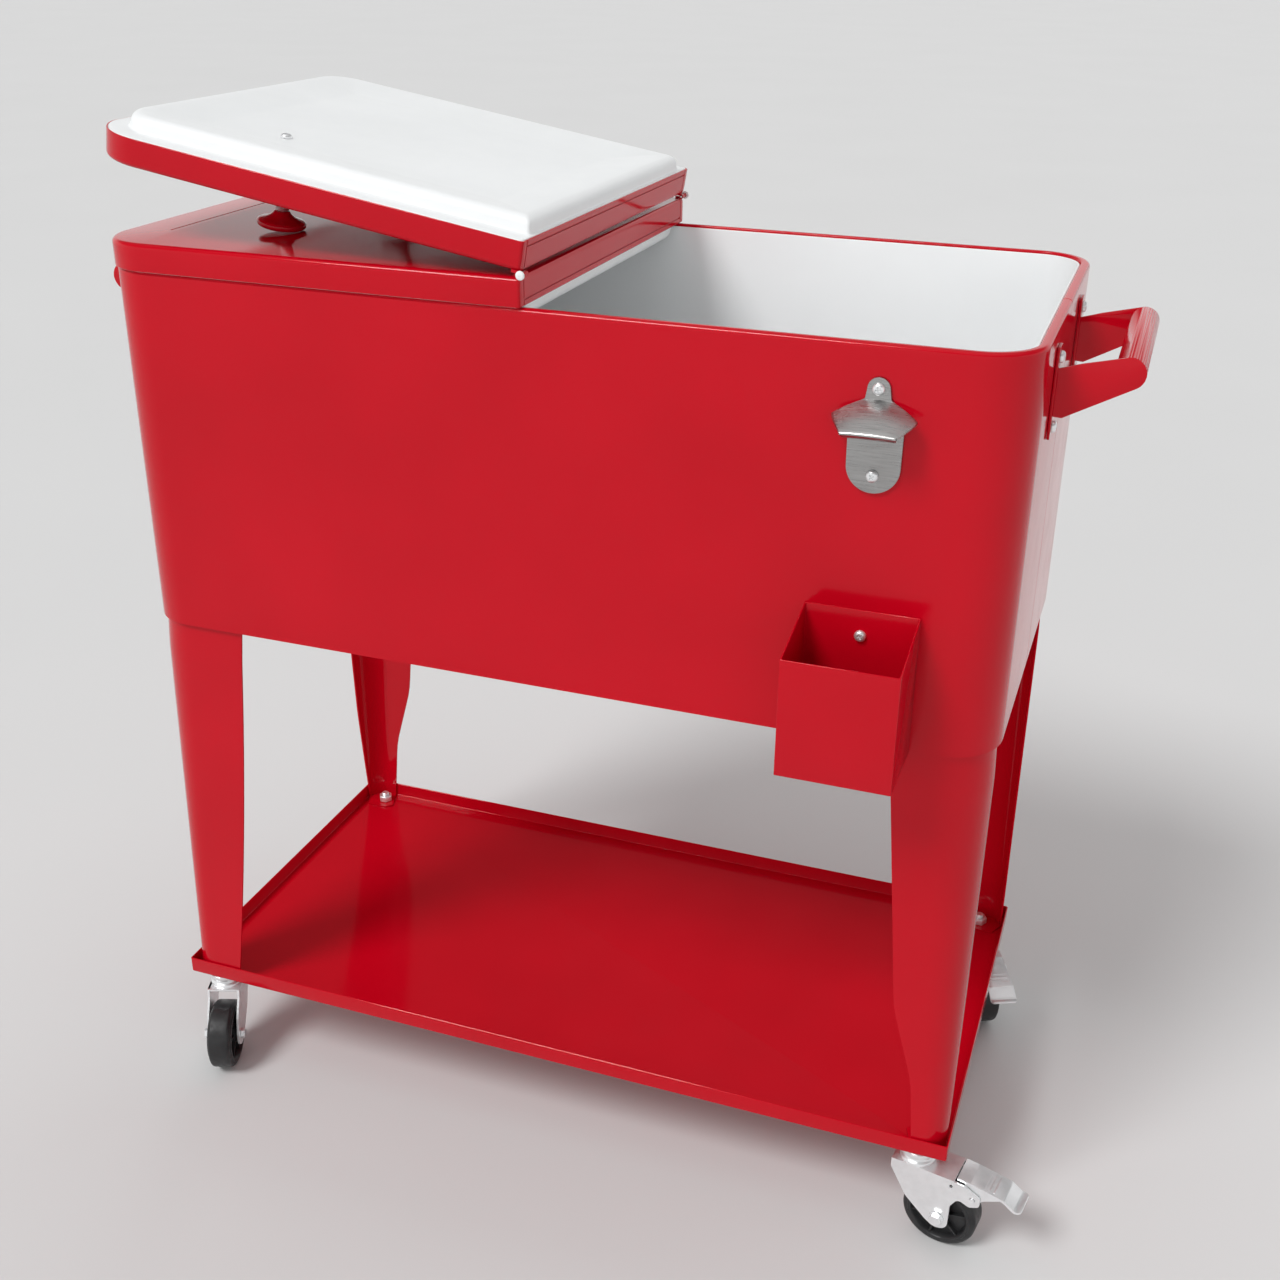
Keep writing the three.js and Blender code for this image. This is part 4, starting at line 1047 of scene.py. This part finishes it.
# -------------------------------- opener and catcher
HOOD_ROWS = (  # half width, height at the ends, rise at the middle, distance out from the wall
    (9, 735.5, 0.5, 1.5),
    (20, 731, 2, 6.5),
    (HOOD_TIP, 726, 4.5, 12),
    (25, 723, 3, 21),
    (HOOD_LIP, 719.4, 0.6, HOOD_OUT - 1),
    (HOOD_LIP - 0.5, 717.6, 0.4, HOOD_OUT),
    (HOOD_LIP - 1.3, 715, 0.2, HOOD_OUT - 3.5),
)


def hood():
    """The opener's hood: it widens to two pointed tips and runs out to a straight, turned-down lip."""
    across = 24
    profile = fine_rows()
    lip_start = len(profile) - 6  # from here the other face lies behind, not below

    def surface(inset):
        rows = []
        for number, (half, z, rise, out) in enumerate(profile):
            dy, dz = (inset, -inset * 0.4) if number >= lip_start else (0, -inset)
            row = []
            for i in range(across + 1):
                share = 2 * i / across - 1
                row.append((share * half, dy - out, z + rise * (1 - share ** 2) + dz))
            rows.append(row)
        return rows

    return sheet(surface(0), surface(OPENER_SHEET * 0.8))


def fine_rows():
    """The hood's rows with smooth ones filled in between them."""
    rows = []
    last = len(HOOD_ROWS) - 1
    for i in range(last):
        nearby = [HOOD_ROWS[min(max(i + k, 0), last)] for k in (-1, 0, 1, 2)]
        for step in range(3):
            rows.append(tuple(curve(*values, step / 3) for values in zip(*nearby)))
    return [*rows, HOOD_ROWS[-1]]


def curve(a, b, c, d, t):
    """A gentle curve from b to c that knows its neighbours a and d."""
    bend = 0.35
    straight = b + (c - b) * t
    squared, cubed = 2 * a - 5 * b + 4 * c - d, 3 * b - a - 3 * c + d
    spline = 0.5 * (2 * b + (c - a) * t + squared * t * t + cubed * t ** 3)
    return straight * (1 - bend) + spline * bend


def opener():
    """The wall bottle opener in brushed stainless sheet."""
    place = Matrix.Translation((OPENER_X, -HALF_WIDTH - GAP, 0))
    eye = arc(0, OPENER_SCREWS_Z[0], OPENER_EYE, 0, 180, 20)
    left = [(-9, 736), (-HOOD_LIP, 724)]
    foot = arc(0, OPENER_SCREWS_Z[1] + 6.5, OPENER_FOOT, 180, 360, 32)
    right = [(-x, z) for x, z in reversed(left)]
    back = spun(plate([*eye, *left, *foot, *right], OPENER_SHEET), 90, "X")
    piece = object_of("opener_plate", back, place)
    combine(piece, [hood()], "UNION", place)
    holes = [shifted(spun(turned([(2.4, -6), (2.4, 6)]), 90, "X"), 0, 0, z) for z in OPENER_SCREWS_Z]
    combine(piece, holes, "DIFFERENCE", place)
    soften(piece, 0.45, 3, 50)
    finish_piece(piece, "bottle_opener", STEEL, 45)
    for row, z, turn in zip(("upper", "lower"), OPENER_SCREWS_Z, (10, 40)):
        front_screw("opener_screw_" + row, z, OPENER_SHEET + 2 * GAP, turn)


def catcher():
    """The cap catcher: a folded sheet box with an open, sloping top."""
    place = Matrix.Translation((OPENER_X, -HALF_WIDTH - GAP, CATCHER_Z))
    half = CATCHER_WIDTH / 2
    reach = CATCHER_DEPTH
    side = [(0, 0), (0, CATCHER_BACK), (reach, CATCHER_FRONT), (reach, 0)]
    outside = spun(spun(plate(side, CATCHER_WIDTH), 90, "X"), -90, "Z")
    piece = object_of("catcher_box", shifted(outside, half, 0, 0), place)

    def hollow_loop(inset, z):
        return outline(inset - half, half - inset, reach / 2 - inset, [(1.4, 4)] * 4, z)

    bend = 1.4
    floor = [hollow_loop(SHEET + bend - a, SHEET + bend - b) for a, b in arc(0, 0, bend, 90, 0, 4)]
    hollow = skin([*floor, hollow_loop(SHEET, CATCHER_BACK + 5)])
    combine(piece, [shifted(hollow, 0, -reach / 2, 0)], "DIFFERENCE", place)
    soften(piece, 0.45, 3, 50)
    finish_piece(piece, "cap_catcher", RED, 40)
    front_screw("catcher_screw", CATCHER_SCREW_Z, SHEET + 2 * GAP, 25)


# -------------------------------- studio
def studio():
    """A pale floor, the sky and three soft lights."""
    scene = bpy.context.scene
    scene.view_settings.view_transform = "Standard"
    sky()
    floor_mesh = bpy.data.meshes.new("floor")
    reach = 60  # metres
    corners = [(-reach, -reach, 0), (reach, -reach, 0), (reach, reach, 0), (-reach, reach, 0)]
    floor_mesh.from_pydata(corners, [], [(0, 1, 2, 3)])
    floor = bpy.data.objects.new("floor", floor_mesh)
    scene.collection.objects.link(floor)
    material, shader = new_material("floor_paint", (0.64, 0.64, 0.64), 0.9)
    tint(material, shader, noise(material, 1.5, 2), (0.635, 0.635, 0.635), (0.645, 0.645, 0.645))
    floor_mesh.materials.append(material)
    soft_light("key", 50, -120, 1.9, 20)
    for name, elevation, azimuth, strength in (("front_fill", 12, -75, 0.55), ("rear_fill", 25, 80, 0.9)):
        soft_light(name, elevation, azimuth, strength, 60).visible_glossy = False


# elevation in degrees, brightness
SKY_BANDS = ((0, 0.9), (18, 0.9), (27, 0.16), (48, 0.16), (66, 0.75), (90, 0.75))


def sky():
    """The studio's surroundings, bright and dark by height above the horizon."""
    world = bpy.data.worlds.new("studio")
    bpy.context.scene.world = world
    world.use_nodes = True
    nodes, links = world.node_tree.nodes, world.node_tree.links
    direction = nodes.new("ShaderNodeTexCoord")
    height = nodes.new("ShaderNodeSeparateXYZ")
    bands = nodes.new("ShaderNodeValToRGB")
    stops = bands.color_ramp.elements
    for elevation, _ in SKY_BANDS[1:-1]:
        stops.new(sin(radians(elevation)))
    for stop, (_, brightness) in zip(stops, SKY_BANDS):
        stop.color = (brightness, brightness, brightness, 1)
    links.new(direction.outputs["Generated"], height.inputs["Vector"])
    links.new(height.outputs["Z"], bands.inputs["Fac"])
    links.new(bands.outputs["Color"], nodes["Background"].inputs["Color"])


def soft_light(name, elevation, azimuth, strength, width):
    """An even light from a direction, so many degrees wide."""
    data = bpy.data.lights.new(name, "SUN")
    data.energy = strength
    data.angle = radians(width)
    lamp = bpy.data.objects.new(name, data)
    up, round_z = radians(elevation), radians(azimuth)
    towards = Vector((cos(up) * cos(round_z), cos(up) * sin(round_z), sin(up)))
    lamp.rotation_euler = towards.to_track_quat("Z", "Y").to_euler()
    bpy.context.scene.collection.objects.link(lamp)
    return lamp


CAMERA_PLACE = (0.44521, -1.16105, 1.03218)
CAMERA_YAW = 19.497
CAMERA_PITCH = 25.25
CAMERA_ROLL = 0.627
CAMERA_LENS = 43.57


def camera():
    """The camera at the product view's angle."""
    data = bpy.data.cameras.new("camera")
    data.lens = CAMERA_LENS
    data.sensor_width = 36
    data.clip_start = 0.01
    view = bpy.data.objects.new("camera", data)
    turn = Matrix.Rotation(radians(CAMERA_YAW), 4, "Z")
    tilt = Matrix.Rotation(radians(90 - CAMERA_PITCH), 4, "X")
    roll = Matrix.Rotation(radians(CAMERA_ROLL), 4, "Z")
    view.matrix_world = Matrix.Translation(CAMERA_PLACE) @ turn @ tilt @ roll
    bpy.context.scene.collection.objects.link(view)
    bpy.context.scene.camera = view


# -------------------------------- assembly
def keep_node(node, material):
    """A CAD node that stays as it is and only gets its material."""
    thing = frame["nodes"][node]
    thing.data.materials.clear()
    thing.data.materials.append(material)


camera()
studio()
casing()
basin()
keep_node("foam_insulation", FOAM)
keep_node("base_plate", RED)
tray()
for corner in CORNERS:
    leg(corner)
    caster_head(corner)
    stem_nut(corner)
    fork(corner)
    wheel(corner)
    axle(corner)
    if corner.endswith("right"):
        pedal(corner)
for side in ("left", "right"):
    lid_shell(side)
    lid_liner(side)
    knob(side)
hinge_ends()
for name, end in (("right", 1), ("left", -1)):
    handle(name, end)
    handle_screws(name, end)
opener()
catcher()
